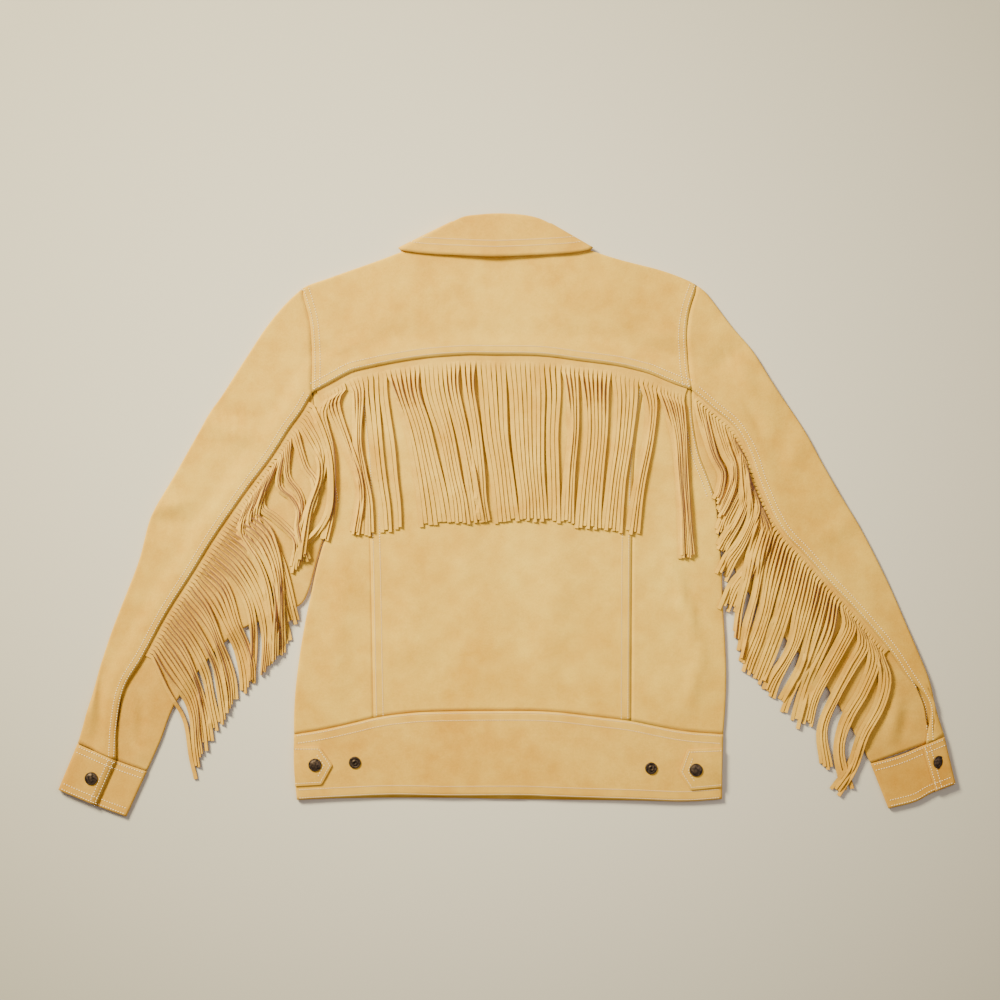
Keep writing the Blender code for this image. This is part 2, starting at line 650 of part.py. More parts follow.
def yoke(jacket, collection, surface):
    """The back yoke, which turns over both shoulders and ends a little way down the front."""
    height = upper_height(jacket.yoke_seam, OVER_LAP)
    bases = {}
    arms = {}
    for name in "LR":
        shared = jacket.side[name]
        bases[name], _ = fold_base(shared["shoulder"], shared["shoulder_in"], height, lower_height,
                                   SUEDE)
        shorten(bases[name], -1)
        arms[name] = inset(shared["arm_upper"], shared["hand"])
        arms[name][0] = bases[name][-1]
    neck = inset([station["neck"] for station in jacket.collar_back], -1, SEAM_GAP)
    top = join(bases["L"][::-1], [bases["L"][0], *neck[1:-1], bases["R"][0]], bases["R"])
    seam = spaced(jacket.yoke_seam, len(top) - 1)
    seam[0] = arms["L"][-1]
    seam[-1] = arms["R"][-1]
    lap = inset(seam, 1, LAP_FLAT)
    sheet = Sheet(raised(patch(top, lap, arms["L"][:-1], arms["R"][:-1]), height))
    sheet.carry_on(sheet.row(-1), [Vector((*point, OVER_LAP)) for point in seam])
    for name, edge in (("L", sheet.row(0, 0, SHOULDER_CELLS)[::-1]),
                       ("R", sheet.row(0, SHOULDER_CELLS + COLLAR_BACK_CELLS))):
        shared = jacket.side[name]
        outward = [-way for way in shared["shoulder_in"]]
        edge = sheet.turn_under(edge, outward, lower_height, [1.0] * len(edge))
        sheet.carry_on(edge, under_points(shoulder_return(jacket, name, SEAM_GAP / 2)))
    return sheet.finish("yoke_back", SUEDE, surface, collection)


def under_points(line):
    return [Vector((point.x, point.y, lower_height(point))) for point in line]


def shoulder_return(jacket, name, gap):
    """The seam on the front where the yoke ends, moved by a gap toward the yoke or away from it."""
    shared = jacket.side[name]
    height = upper_height(jacket.yoke_seam, OVER_LAP)
    base, _ = fold_base(shared["shoulder"], shared["shoulder_in"], height, lower_height, SUEDE)
    shorten(base, -1)
    line = moved(base, shared["shoulder_in"], [RETURN_WIDTH - gap] * len(base))
    arm = inset(shared["arm_upper"], shared["hand"], CORNER_GAP)
    line[-1] = base[-1] + (arm[1] - base[-1]).normalized() * (RETURN_WIDTH - gap)
    return line


def return_line(line, inward, gap):
    """The seam below a fold, which starts at the armpit with hardly any width."""
    widths = list(RETURN_GROWTH) + [RETURN_WIDTH] * (len(line) - len(RETURN_GROWTH))
    return moved(line, inward, [SUEDE / 2 + size - gap for size in widths])


def back_side(jacket, name, collection, surface):
    """A side panel of the back, which turns round the side fold to the side seam below."""
    shared = jacket.side[name]
    hand = shared["hand"]
    seam = smooth(YOKE_SEAM["side_" + name])
    height = upper_height(jacket.yoke_seam, UNDER_LAP)
    side_base, ramp = fold_base(shared["side"], shared["side_in"], height, lower_height, SUEDE, True)
    arm = inset(shared["arm_lower"], hand)
    outer = join(arm, [arm[-1], *side_base[1:]])
    outer[len(arm) - 1] = side_base[0]
    inner = inset(shared["back_seam"], -hand)
    top = spaced(seam, SIDE_PANEL_CELLS)
    bottom = inset(spaced(smooth(BAND_TOP["side_" + name]), SIDE_PANEL_CELLS), 1, SEAM_GAP)
    if name == "R":
        top = top[::-1]
        bottom = bottom[::-1]
    outer[-1] = Vector((outer[-1].x, bottom[0].y))
    inner[-1] = Vector((inner[-1].x, bottom[-1].y))
    sheet = Sheet(raised(patch(top, bottom, outer, inner), height))
    top_edge = sheet.row(0)
    sheet.carry_on(top_edge, [vert.co + Vector((0, LAP_UNDER_WIDTH, 0)) for vert in top_edge])
    edge = sheet.column(0, ARM_LOWER_CELLS)
    edge = sheet.turn_under(edge, [-way for way in shared["side_in"]], lower_height, ramp)
    below = return_line(shared["side"], shared["side_in"], SEAM_GAP / 2)
    below[-1] = at_x(smooth(BAND_TOP["side_" + name]), below[-1].x, SEAM_GAP)
    sheet.carry_on(edge, under_points(below))
    return sheet.finish("back_side_" + name, SUEDE, surface, collection)


def back_centre(jacket, collection, surface):
    """The middle panel of the back."""
    height = upper_height(jacket.yoke_seam, UNDER_LAP)
    left = inset(jacket.side["L"]["back_seam"], 1)
    right = inset(jacket.side["R"]["back_seam"], -1)
    top = spaced(smooth(YOKE_SEAM["centre"]), CENTRE_CELLS)
    bottom = inset(spaced(smooth(BAND_TOP["centre"]), CENTRE_CELLS), 1, SEAM_GAP)
    left[-1] = Vector((left[-1].x, bottom[0].y))
    right[-1] = Vector((right[-1].x, bottom[-1].y))
    sheet = Sheet(raised(patch(top, bottom, left, right), height))
    top_edge = sheet.row(0)
    sheet.carry_on(top_edge, [vert.co + Vector((0, LAP_UNDER_WIDTH, 0)) for vert in top_edge])
    return sheet.finish("back_centre", SUEDE, surface, collection)


def front(jacket, name, collection, surface):
    """A front on the underside; the left one goes on inside the right one's edge."""
    shared = jacket.side[name]
    hand = shared["hand"]
    edge_x = FRONT_EDGE_X[name]
    shoulder = shoulder_return(jacket, name, -SEAM_GAP / 2)[::-1]
    neck = inset([station["neck"] for station in jacket.wing[name]], -hand, SEAM_GAP)
    arm = inset(join(shared["arm_upper"], shared["arm_lower"]), hand)
    arm[0] = shoulder[0]
    side = return_line(shared["side"], shared["side_in"], -SEAM_GAP / 2)
    band = smooth(FRONT_BAND_TOP)
    side[-1] = at_x(band, side[-1].x, SEAM_GAP)
    outer = join(arm, side)
    outer[len(arm) - 1] = side[0]
    neck[0] = shoulder[-1]
    corner = Vector((edge_x, FRONT_NECK_Y))
    top = join(shoulder, neck) if name == "L" else [*join(shoulder, neck), corner]
    top[-1] = Vector((edge_x, top[-1].y))
    close = [Vector((edge_x, y)) for y in FRONT_NECK_ROWS]
    inner = [top[-1], *close[:-1],
             *spaced([close[-1], at_x(band, edge_x, SEAM_GAP)], len(outer) - 1 - len(close))]
    bottom = [at_x(band, point.x, 2 * SEAM_GAP) for point in spaced([outer[-1], inner[-1]], len(top) - 1)]
    sheet = Sheet(raised(patch(top, bottom, outer, inner), lower_height))
    if name == "L":
        cross_over(sheet, [vert.co.copy() for vert in sheet.column(-1)], FRONT_LAP - LOWER)
    return sheet.finish("front_" + name, SUEDE, surface, collection)


def cross_over(sheet, line, rise):
    """Carries the left front's edge up and over the right one's, inside the jacket."""
    edge = sheet.column(-1)
    for x in (LAP_RISE_X, LAP_END_X):
        points = [Vector((x, min(point.y, FRONT_NECK_Y), point.z + rise)) for point in line]
        edge = sheet.carry_on(edge, points)


def waistband_back(jacket, collection, surface):
    """The back waistband, which turns round both side folds."""
    top = join(spaced(smooth(BAND_TOP["side_L"]), SIDE_PANEL_CELLS),
               spaced(smooth(BAND_TOP["centre"]), CENTRE_CELLS),
               spaced(smooth(BAND_TOP["side_R"]), SIDE_PANEL_CELLS))
    cells = len(top) - 1
    hem = spaced(smooth(BAND_HEM), cells)
    reach = (BAND_UPPER - BAND_LOWER) / 2
    sides = {}
    for name, hand in (("L", 1), ("R", -1)):
        line = spaced(smooth(SIDE_FOLD[name]["band"]), HEM_END_CELLS)
        sides[name] = inset(line, hand, BAND_WALL / 2 + reach)
    rows = patch(top, hem, sides["L"], sides["R"])
    sheet = Sheet(raised(rows, lambda point: BAND_UPPER))
    for name, hand in (("L", 1), ("R", -1)):
        edge = sheet.column(0 if name == "L" else -1)
        line = spaced(smooth(SIDE_FOLD[name]["band"]), HEM_END_CELLS)
        outward = [-way for way in inward_of(line, hand)]
        edge = sheet.turn_under(edge, outward, lambda point: BAND_LOWER, [1.0] * len(edge))
        sheet.carry_on(edge, [vert.co + Vector((hand * RETURN_WIDTH, 0, 0)) for vert in edge])
    return sheet.finish("waistband_back", BAND_WALL, surface, collection)


def waistband_front(name, collection, surface):
    """A front's waistband, from the side seam to the front edge."""
    hand = 1 if name == "L" else -1
    reach = (BAND_UPPER - BAND_LOWER) / 2
    fold = spaced(smooth(SIDE_FOLD[name]["band"]), HEM_END_CELLS)
    start = inset(fold, hand, BAND_WALL / 2 + reach)
    start = [Vector((point.x + hand * (RETURN_WIDTH + SEAM_GAP), point.y)) for point in start]
    band = smooth(FRONT_BAND_TOP)
    hem = smooth(FRONT_HEM)
    edge_x = FRONT_EDGE_X[name]
    start[0] = at_x(band, start[0].x, -SEAM_GAP)
    start[-1] = at_x(hem, start[-1].x)
    top = [at_x(band, point.x, -SEAM_GAP)
           for point in spaced([start[0], Vector((edge_x, 0))], CENTRE_CELLS)]
    bottom = [at_x(hem, point.x) for point in spaced([start[-1], Vector((edge_x, 0))], CENTRE_CELLS)]
    end = spaced([top[-1], bottom[-1]], HEM_END_CELLS)
    sheet = Sheet(raised(patch(top, bottom, start, end), lambda point: BAND_LOWER))
    if name == "L":
        cross_over(sheet, [vert.co.copy() for vert in sheet.column(-1)], BAND_FRONT_LAP - BAND_LOWER)
    return sheet.finish("waistband_front_" + name, BAND_WALL, surface, collection)


def sleeve_top(jacket, name, collection, surface):
    """The outer sleeve piece: from the fringed seam over the outer fold to the underarm seam below."""
    shared = jacket.side[name]
    hand = shared["hand"]
    height = upper_height(smooth(SLEEVE_SEAM[name]), OVER_LAP)
    cuff_line = smooth(CUFF_TOP[name])
    base, ramp = fold_base(shared["outer"], shared["outer_in"], height, lower_height, SUEDE)
    shorten(base, 0)
    base[-1] = at_x(cuff_line, base[-1].x, SEAM_GAP)
    arm = inset(shared["arm_upper"], -hand)
    arm[0] = base[0]
    seam = [arm[-1], *shared["seam"][1:-1], at_x(cuff_line, shared["seam"][-1].x, SEAM_GAP)]
    widths = [min(LAP_FLAT, LAP_NARROW * (near - far).length) for near, far in zip(seam, base)]
    lap = moved(seam, inward_of(seam, -hand), widths)
    lap[0] = arm[-2]
    lap[-1] = at_x(cuff_line, lap[-1].x, SEAM_GAP)
    bottom = spaced([base[-1], lap[-1]], ARM_UPPER_CELLS)
    sheet = Sheet(raised(patch(arm[:-1], bottom, base, lap), height))
    sheet.carry_on(sheet.column(-1), [Vector((*point, OVER_LAP)) for point in seam])
    edge = sheet.column(0)
    edge = sheet.turn_under(edge, [-way for way in shared["outer_in"]], lower_height, ramp)
    inner = return_line(shared["inner"], shared["inner_in"], -SEAM_GAP / 2)
    inner[-1] = at_x(cuff_line, inner[-1].x, SEAM_GAP)
    whole_arm = inset(join(shared["arm_upper"], shared["arm_lower"]), -hand, CORNER_GAP)
    whole_arm[0] = base[0]
    whole_arm[-1] = inner[0]
    cells = len(whole_arm) - 1
    below = patch(whole_arm, spaced([base[-1], inner[-1]], cells), base, inner)
    for column in range(1, cells + 1):
        line = [row[column] for row in below]
        edge = sheet.carry_on(edge, under_points(line))
    sheet.keep_above(cuff_line, SLEEVE_LIFT)
    return sheet.finish("sleeve_top_" + name, SUEDE, surface, collection)


def sleeve_under(jacket, name, collection, surface):
    """The inner sleeve piece: from under the fringed seam round the inner fold to the underarm seam."""
    shared = jacket.side[name]
    hand = shared["hand"]
    height = upper_height(smooth(SLEEVE_SEAM[name]), UNDER_LAP)
    cuff_line = smooth(CUFF_TOP[name])
    base, ramp = fold_base(shared["inner"], shared["inner_in"], height, lower_height, SUEDE, True)
    arm = inset(shared["arm_lower"], -hand)
    arm[-1] = base[0]
    base[-1] = at_x(cuff_line, base[-1].x, SEAM_GAP)
    seam = [arm[0], *shared["seam"][1:-1], at_x(cuff_line, shared["seam"][-1].x, SEAM_GAP)]
    bottom = spaced([seam[-1], base[-1]], ARM_LOWER_CELLS)
    sheet = Sheet(raised(patch(arm, bottom, seam, base), height))
    flange = sheet.column(0)
    toward = inward_of(seam, -hand)
    sheet.carry_on(flange, [vert.co + Vector((way.x, way.y, 0)) * LAP_UNDER_WIDTH
                            for vert, way in zip(flange, toward)])
    edge = sheet.column(-1)
    edge = sheet.turn_under(edge, [-way for way in shared["inner_in"]], lower_height, ramp)
    below = return_line(shared["inner"], shared["inner_in"], SEAM_GAP / 2)
    below[-1] = at_x(cuff_line, below[-1].x, SEAM_GAP)
    sheet.carry_on(edge, under_points(below))
    sheet.keep_above(cuff_line, SLEEVE_LIFT)
    return sheet.finish("sleeve_under_" + name, SUEDE, surface, collection)


def cuff(name, collection, surface):
    """A cuff as one strip: its inner end, round both folds, to its outer end over the inner one."""
    top = [point - Vector((0, CUFF_GAP)) for point in smooth(CUFF_TOP[name])]
    end = smooth(CUFF_END[name])
    widths = lengths(top)[-1]
    reach = (CUFF_UPPER - CUFF_LOWER) / 2
    edge = CUFF_WALL / 2 + reach
    overlap = CUFF_OVERLAP[name]
    stations = []
    for index in range(CUFF_CELLS + 1):
        share = overlap["inner_end"] + (1 - edge / widths - overlap["inner_end"]) * index / CUFF_CELLS
        stations.append((share, CUFF_UPPER))
    stations += turn_stations(1 - edge / widths, reach / widths, (CUFF_UPPER, CUFF_LOWER))
    for index in range(1, CUFF_CELLS + 1):
        share = (1 - edge / widths) + (2 * edge / widths - 1) * index / CUFF_CELLS
        stations.append((share, CUFF_LOWER))
    over_reach = (CUFF_OVER - CUFF_LOWER) / 2
    over_edge = (CUFF_WALL / 2 + over_reach) / widths
    stations[-1] = (over_edge, CUFF_LOWER)
    stations += turn_stations(over_edge, -over_reach / widths, (CUFF_LOWER, CUFF_OVER))
    stations.append((overlap["outer_end"] * 0.6, CUFF_OVER))
    stations.append((overlap["outer_end"], CUFF_OVER))
    rows = []
    for across in range(CUFF_CELLS + 1):
        share_down = across / CUFF_CELLS
        row = []
        for share, height in stations:
            high = point_at(top, share)
            low = point_at(end, share)
            point = high.lerp(low, share_down)
            row.append(Vector((point.x, point.y, height)))
        rows.append(row)
    return Sheet(rows).finish("cuff_" + name, CUFF_WALL, surface, collection)


def turn_stations(share, reach, heights):
    """Stations round a fold of the cuff, from one height to the other, bulging by a share."""
    start, stop = heights
    turned = []
    for step in range(1, TURN_STEPS + 1):
        angle = math.pi * step / TURN_STEPS
        middle = (start + stop) / 2
        turned.append((share + reach * math.sin(angle), middle + (start - stop) / 2 * math.cos(angle)))
    return turned


def point_at(line, share):
    """The place at a share of a line's length, also a little before or past its ends."""
    whole = lengths(line)[-1]
    if share < 0:
        return line[0] + (line[0] - line[1]).normalized() * (-share * whole)
    if share > 1:
        return line[-1] + (line[-1] - line[-2]).normalized() * ((share - 1) * whole)
    return along(line, share * whole)


def collar(jacket, collection, surface):
    """The collar as one strip round the neck: stand, roll and fall, flattened with the jacket."""
    stations = []
    wing = jacket.wing
    back = jacket.collar_back
    for station in wing["L"][::-1]:
        stations.append((station, -1.0, Vector((0, 0))))
    stations += collar_turn(back[0], -1)
    for station in back:
        stations.append((station, 1.0, Vector((0, 0))))
    stations += collar_turn(back[-1], 1)[::-1]
    for station in wing["R"]:
        stations.append((station, -1.0, Vector((0, 0))))
    rows = []
    for station, side, bulge in stations:
        rows.append([collar_point(station, side, bulge, share) for share in collar_shares()])
    return Sheet(rows).finish("collar", COLLAR_WALL, surface, collection)


def collar_lines(sections, cells):
    """Stations between the collar's sections, each with its neck, roll and edge."""
    lines = {key: spaced(smooth([section[key] for section in sections]), cells)
             for key in ("neck", "roll", "edge")}
    return [{key: line[index] for key, line in lines.items()} for index in range(cells + 1)]


def collar_turn(station, hand):
    """Stations round a side of the neck, from the wing below up to the back."""
    turned = []
    for step in range(1, COLLAR_TURN_STEPS):
        angle = math.pi * step / COLLAR_TURN_STEPS
        outward = Vector((hand * 0.75, 0.66))
        turned.append((station, -math.cos(angle), outward * math.sin(angle)))
    return turned


def collar_shares():
    """Stops across the collar: stand from 0 to 1, roll from 1 to 2 and fall from 2 to 3."""
    roll = [1 + step / COLLAR_TURN_STEPS for step in range(COLLAR_TURN_STEPS + 1)]
    fall = [2 + step / FALL_CELLS for step in range(1, FALL_CELLS + 1)]
    return [0.0, *roll, *fall]


def collar_point(station, side, bulge, share):
    """A place on the collar: how far across it is, and how far up or down its layer lies."""
    neck, roll, edge = station["neck"], station["roll"], station["edge"]
    away = (roll - neck).normalized()
    if share <= 1:
        place = neck.lerp(roll, share)
        reach = STAND_REACH
        if share == 0:
            place = neck + away * (SEAM_GAP / 2)
    elif share <= 2:
        angle = math.pi * (share - 1)
        width = (FALL_REACH - STAND_REACH) / 2
        place = roll + away * (width * math.sin(angle))
        reach = STAND_REACH + width * (1 - math.cos(angle))
    else:
        place = roll.lerp(edge, share - 2)
        reach = FALL_REACH
    height = COLLAR_MIDDLE + reach * side
    if side == 1.0 and share > 2:
        middle = max(0.0, 1 - abs(place.x - NECK_MIDDLE_X) / 80)
        height += FALL_EDGE_LIFT * middle * (share - 2)
    place = place + bulge * reach
    return Vector((place.x, place.y, height))


def tab(name, collection, surface):
    """A pointed waist tab, lying on the waistband."""
    outline = bpy.data.curves.new("tab_" + name, "CURVE")
    outline.dimensions = "2D"
    outline.fill_mode = "BOTH"
    outline.extrude = TAB_WALL / 2 * MM
    spline = outline.splines.new("POLY")
    spline.points.add(len(TAB_OUTLINE[name]) - 1)
    for point, (x, y) in zip(spline.points, TAB_OUTLINE[name]):
        point.co = (x * MM, y * MM, 0, 1)
    spline.use_cyclic_u = True
    outline.materials.append(surface)
    piece = bpy.data.objects.new("tab_" + name, outline)
    piece.location.z = (TAB_BOTTOM + TAB_WALL / 2) * MM
    collection.objects.link(piece)
    return piece


def snap(entry, collection, surface):
    """A turned snap part, either a domed cap or an open stud in its ring."""
    if entry["kind"] == "cap":
        profile = [(0, CAP_HEIGHT), (3.6, CAP_HEIGHT - 0.15), (6.2, CAP_HEIGHT - 0.8),
                   (CAP_RADIUS, 0.7), (CAP_RADIUS, 0), (0, 0)]
    else:
        profile = [(0, STUD_HEIGHT), (1.9, STUD_HEIGHT), (2.5, STUD_HEIGHT - 0.5), (2.1, 1.4),
                   (3.6, 1.0), (4.6, 1.7), (6.2, 1.7), (STUD_RADIUS, 0.9), (STUD_RADIUS, 0), (0, 0)]
    data = bpy.data.meshes.new(entry["name"])
    outline = bmesh.new()
    verts = [outline.verts.new((x * MM, 0, z * MM)) for x, z in profile]
    for here, after in zip(verts, verts[1:]):
        outline.edges.new((here, after))
    outline.to_mesh(data)
    outline.free()
    data.materials.append(surface)
    piece = bpy.data.objects.new(entry["name"], data)
    x, y, z = entry["place"]
    piece.location = (x * MM, y * MM, z * MM)
    collection.objects.link(piece)
    turned = piece.modifiers.new("turned", "SCREW")
    turned.steps = SNAP_STEPS
    turned.render_steps = SNAP_STEPS
    turned.use_merge_vertices = True
    turned.merge_threshold = 0.00005
    turned.use_smooth_shade = True
    return piece


class Pile:
    """Everything the fringe can lie on, asked for its height from above."""

    def __init__(self, pieces):
        self.verts = []
        self.faces = []
        depsgraph = bpy.context.evaluated_depsgraph_get()
        for piece in pieces:
            shape = piece.evaluated_get(depsgraph)
            data = shape.to_mesh()
            first = len(self.verts)
            self.verts += [shape.matrix_world @ vert.co / MM for vert in data.vertices]
            self.faces += [[first + index for index in face.vertices] for face in data.polygons]
            shape.to_mesh_clear()
        self.tree = None

    def add_strand(self, edges):
        """Adds the top of a strand, given as pairs of its left and right points."""
        first = len(self.verts)
        for left, right in edges:
            lift = Vector((0, 0, STRAND_WALL / 2))
            self.verts += [left + lift, right + lift]
        for index in range(len(edges) - 1):
            start = first + 2 * index
            self.faces.append([start, start + 1, start + 3, start + 2])
        self.tree = None

    def height(self, x, y):
        if self.tree is None:
            self.tree = BVHTree.FromPolygons(self.verts, self.faces)
        hit = self.tree.ray_cast(Vector((x, y, SKY)), Vector((0, 0, -1)))[0]
        return hit.z + STRAND_CLEAR if hit else FLOOR_CLEAR


def guide_point(guides, key, root):
    """Where a strand with this root passes, read between the rows of a fringe's guides."""
    rows = [row for row in guides if key in row]
    for here, after in zip(rows, rows[1:]):
        if root <= after["root"]:
            share = (root - here["root"]) / (after["root"] - here["root"])
            return Vector(here[key]).lerp(Vector(after[key]), share)
    return Vector(rows[-1][key])


def drape(places, sides, widths, root_height, pile):
    """Heights for a strand's stops so that no straight stretch of it enters what it lies on.

    Each stop starts as high as anything beside it needs, and is then let down from the tip back.
    """
    stretches = []
    for index in range(len(places) - 1):
        needs = []
        for sample in range(1, STRAND_SAMPLES + 1):
            share = sample / STRAND_SAMPLES
            if index == 0 and share < 0.5:
                continue
            middle = places[index].lerp(places[index + 1], share)
            side = sides[index].lerp(sides[index + 1], share)
            width = widths[index] * (1 - share) + widths[index + 1] * share
            tops = [pile.height(*(middle + side * (width * off))) for off in STRAND_ACROSS]
            needs.append((share, max(tops) + STRAND_WALL / 2))
        stretches.append(needs)
    highest = [max(need for _, need in needs) for needs in stretches]
    heights = [root_height]
    heights += [max(highest[stop - 1:stop + 1]) for stop in range(1, len(places))]
    for stop in range(len(places) - 1, 0, -1):
        before = heights[stop - 1]
        lowest = [(need - before * (1 - share)) / share for share, need in stretches[stop - 1]]
        if stop < len(stretches):
            after = heights[stop + 1]
            lowest += [(need - after * share) / (1 - share)
                       for share, need in stretches[stop] if share < 1]
        heights[stop] = max(lowest)
    return heights


def softened(directions):
    """Directions along a line, each averaged with its neighbours."""
    padded = [directions[0]] * SOFTEN + directions + [directions[-1]] * SOFTEN
    return [sum(padded[index:index + 2 * SOFTEN + 1], Vector((0, 0))).normalized()
            for index in range(len(directions))]


def strand_widths(lines, index, width):
    """How wide a strand can be at each of its stops beside its neighbours.

    Next to the strip all strands lie side by side. Further on every other one lies on top.
    """
    sides = left_of(lines[index])
    widths = []
    for stop, (place, side) in enumerate(zip(lines[index], sides)):
        apart = min(abs((lines[other][stop] - place).dot(side))
                    for other in (index - 1, index + 1) if 0 <= other < len(lines))
        room = apart * (1 if stop < 2 else STRAND_LAYERS)
        widths.append(max(min(width, room - STRAND_GAP), STRAND_LEAST))
    return widths


def fringe(plan, pile, collection, surface):
    """A strip sewn into a seam, cut into strands that hang over what is below."""
    line = seam_line(plan["seam"])
    count = plan["strands"]
    roots = spaced(line, count, plan["start"], plan["stop"])
    outward = softened([way * plan["out"] for way in left_of(roots)])
    rows = [moved(roots, outward, [-STRIP_INSIDE] * len(roots)),
            moved(roots, outward, [STRIP_OUTSIDE] * len(roots))]
    sheet = Sheet(raised(rows, lambda point: STRIP))
    front_edge = sheet.row(1)
    random.seed(plan["seed"])
    keys = [key for key in ("bend", "low", "tip") if key in plan["guides"][0]]
    lines = []
    for index in range(count):
        start = (rows[1][index] + rows[1][index + 1]) / 2
        out = (outward[index] + outward[index + 1]).normalized()
        aims = [guide_point(plan["guides"], key, (index + 0.5) / count) for key in keys]
        down = (aims[-1] - aims[-2]).normalized()
        aims[-1] = aims[-1] + down * (random.uniform(-1, 1) * plan["jitter"])
        lines.append([start, start + out * ROOT_STEP, *aims])
    order = [index for layer in range(STRAND_LAYERS) for index in range(layer, count, STRAND_LAYERS)]
    for index in order:
        edge = front_edge[index:index + 2]
        places = lines[index]
        widths = strand_widths(lines, index, plan["width"])
        sides = [side * -plan["out"] for side in left_of(places)]
        sides[0] = (edge[1].co.xy - edge[0].co.xy).normalized()
        heights = drape(places, sides, widths, STRIP, pile)
        pairs = [(edge[0].co.copy(), edge[1].co.copy())]
        for place, side, width, height in list(zip(places, sides, widths, heights))[1:]:
            half = side * (width / 2)
            points = [Vector((*(place - half), height)), Vector((*(place + half), height))]
            edge = sheet.carry_on(edge, points)
            pairs.append(tuple(points))
        pile.add_strand(pairs)
    return sheet.finish(plan["name"], STRAND_WALL, surface, collection)


def main():
    """Builds the whole jacket."""
    for piece in list(bpy.data.objects):
        bpy.data.objects.remove(piece, do_unlink=True)
    collection = bpy.data.collections.new("fringed_trucker_jacket")
    bpy.context.scene.collection.children.link(collection)
    suede = material("suede")
    under = material("suede_under")
    band = material("suede_band")
    metal = material("dark_metal", 0.9, 0.4)
    fringed = material("suede_fringe")
    jacket = Jacket()
    pieces = [
        yoke(jacket, collection, suede),
        back_centre(jacket, collection, suede),
        waistband_back(jacket, collection, band),
        collar(jacket, collection, band),
    ]
    for name in "LR":
        pieces += [
            back_side(jacket, name, collection, suede),
            front(jacket, name, collection, under),
            waistband_front(name, collection, band),
            sleeve_top(jacket, name, collection, suede),
            sleeve_under(jacket, name, collection, under),
            cuff(name, collection, band),
            tab(name, collection, band),
        ]
    for entry in SNAPS:
        pieces.append(snap(entry, collection, metal))
    pile = Pile(pieces)
    for plan in FRINGES:
        fringe(plan, pile, collection, fringed)


main()
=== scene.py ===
# %% [markdown]
# A fringed suede jacket, laid flat with its back uppermost
#
# The real jacket is cut from soft split leather about 1.2 mm thick: a yoke over both shoulders, a back in
# three panels, two fronts, two-piece sleeves, a turned collar, a waistband, cuffs and two waist tabs. Long
# strips cut into strands are sewn into the yoke seam and the outer sleeve seams. It could be made by
# dressing a body with simulated cloth, but this one lies flat and still, so each piece is drawn as its
# cutter draws it, by its edges, and gets its height from a few rules for laps, folds and creases.

import json
import math
import random

import bmesh
import bpy
from mathutils import Matrix, Vector, kdtree, noise
from mathutils.bvhtree import BVHTree


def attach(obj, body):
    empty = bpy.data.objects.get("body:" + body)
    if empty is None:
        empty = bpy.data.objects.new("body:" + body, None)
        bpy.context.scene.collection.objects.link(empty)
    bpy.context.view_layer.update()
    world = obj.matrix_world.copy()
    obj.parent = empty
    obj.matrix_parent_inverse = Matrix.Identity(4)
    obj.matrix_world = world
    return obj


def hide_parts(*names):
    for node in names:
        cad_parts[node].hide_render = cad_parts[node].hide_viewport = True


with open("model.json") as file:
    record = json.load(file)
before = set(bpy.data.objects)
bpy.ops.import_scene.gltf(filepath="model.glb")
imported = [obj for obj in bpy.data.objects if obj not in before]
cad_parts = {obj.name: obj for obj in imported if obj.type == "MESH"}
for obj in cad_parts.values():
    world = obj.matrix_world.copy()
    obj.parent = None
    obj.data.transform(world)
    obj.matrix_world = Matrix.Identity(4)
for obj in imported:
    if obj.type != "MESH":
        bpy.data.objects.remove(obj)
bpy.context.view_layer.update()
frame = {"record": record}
MM = 0.001
HANDS = {"L": 1, "R": -1}


def placed(name, data):
    """An object of this name in the scene, for a mesh, a lamp or a camera."""
    made = bpy.data.objects.new(name, data)
    bpy.context.scene.collection.objects.link(made)
    return made


def shaped(name, shape):
    """An object of this name from a finished bmesh."""
    data = bpy.data.meshes.new(name)
    shape.to_mesh(data)
    shape.free()
    return placed(name, data)


# %% [markdown]
# The camera looks straight down, as over a table where clothes are laid out. A long lens from high up
# keeps the sleeves from leaning outward. It is placed first, because everything else is judged through it.

# %% Camera and light
CAMERA_HEIGHT = 2.715
LENS = 85.0
SENSOR = 36.0
FRAME_MIDDLE = (-0.008, 0.0178)
LAMPS = [
    {"name": "window", "place": (-1.9, 1.9, 1.9), "aim": (-0.02, 0.06, 0.0), "size": 0.9,
     "power": 330.0, "tint": (1.0, 0.945, 0.70)},
    {"name": "fill", "place": (1.6, 0.4, 2.6), "aim": (0.0, 0.0, 0.0), "size": 1.8,
     "power": 30.0, "tint": (1.0, 0.93, 0.90)},
]
ROOM_LIGHT = {"tint": (1.0, 0.92, 0.98, 1.0), "strength": 0.34}


def add_camera():
    """A camera above the table, looking straight down."""
    lens = bpy.data.cameras.new("camera")
    lens.lens = LENS
    lens.sensor_width = SENSOR
    camera = placed("camera", lens)
    camera.location = (*FRAME_MIDDLE, CAMERA_HEIGHT)
    bpy.context.scene.camera = camera


def add_lamp(plan):
    """A square studio lamp turned toward a place."""
    light = bpy.data.lights.new(plan["name"], "AREA")
    light.shape = "SQUARE"
    light.size = plan["size"]
    light.energy = plan["power"]
    light.color = plan["tint"]
    lamp = placed(plan["name"], light)
    lamp.location = plan["place"]
    aim = Vector(plan["aim"]) - Vector(plan["place"])
    lamp.rotation_euler = aim.to_track_quat("-Z", "Y").to_euler()


def add_room_light():
    """An even pale light from all round, as in a white room."""
    world = bpy.data.worlds.new("white_room")
    world.use_nodes = True
    background = world.node_tree.nodes["Background"]
    background.inputs["Color"].default_value = ROOM_LIGHT["tint"]
    background.inputs["Strength"].default_value = ROOM_LIGHT["strength"]
    bpy.context.scene.world = world


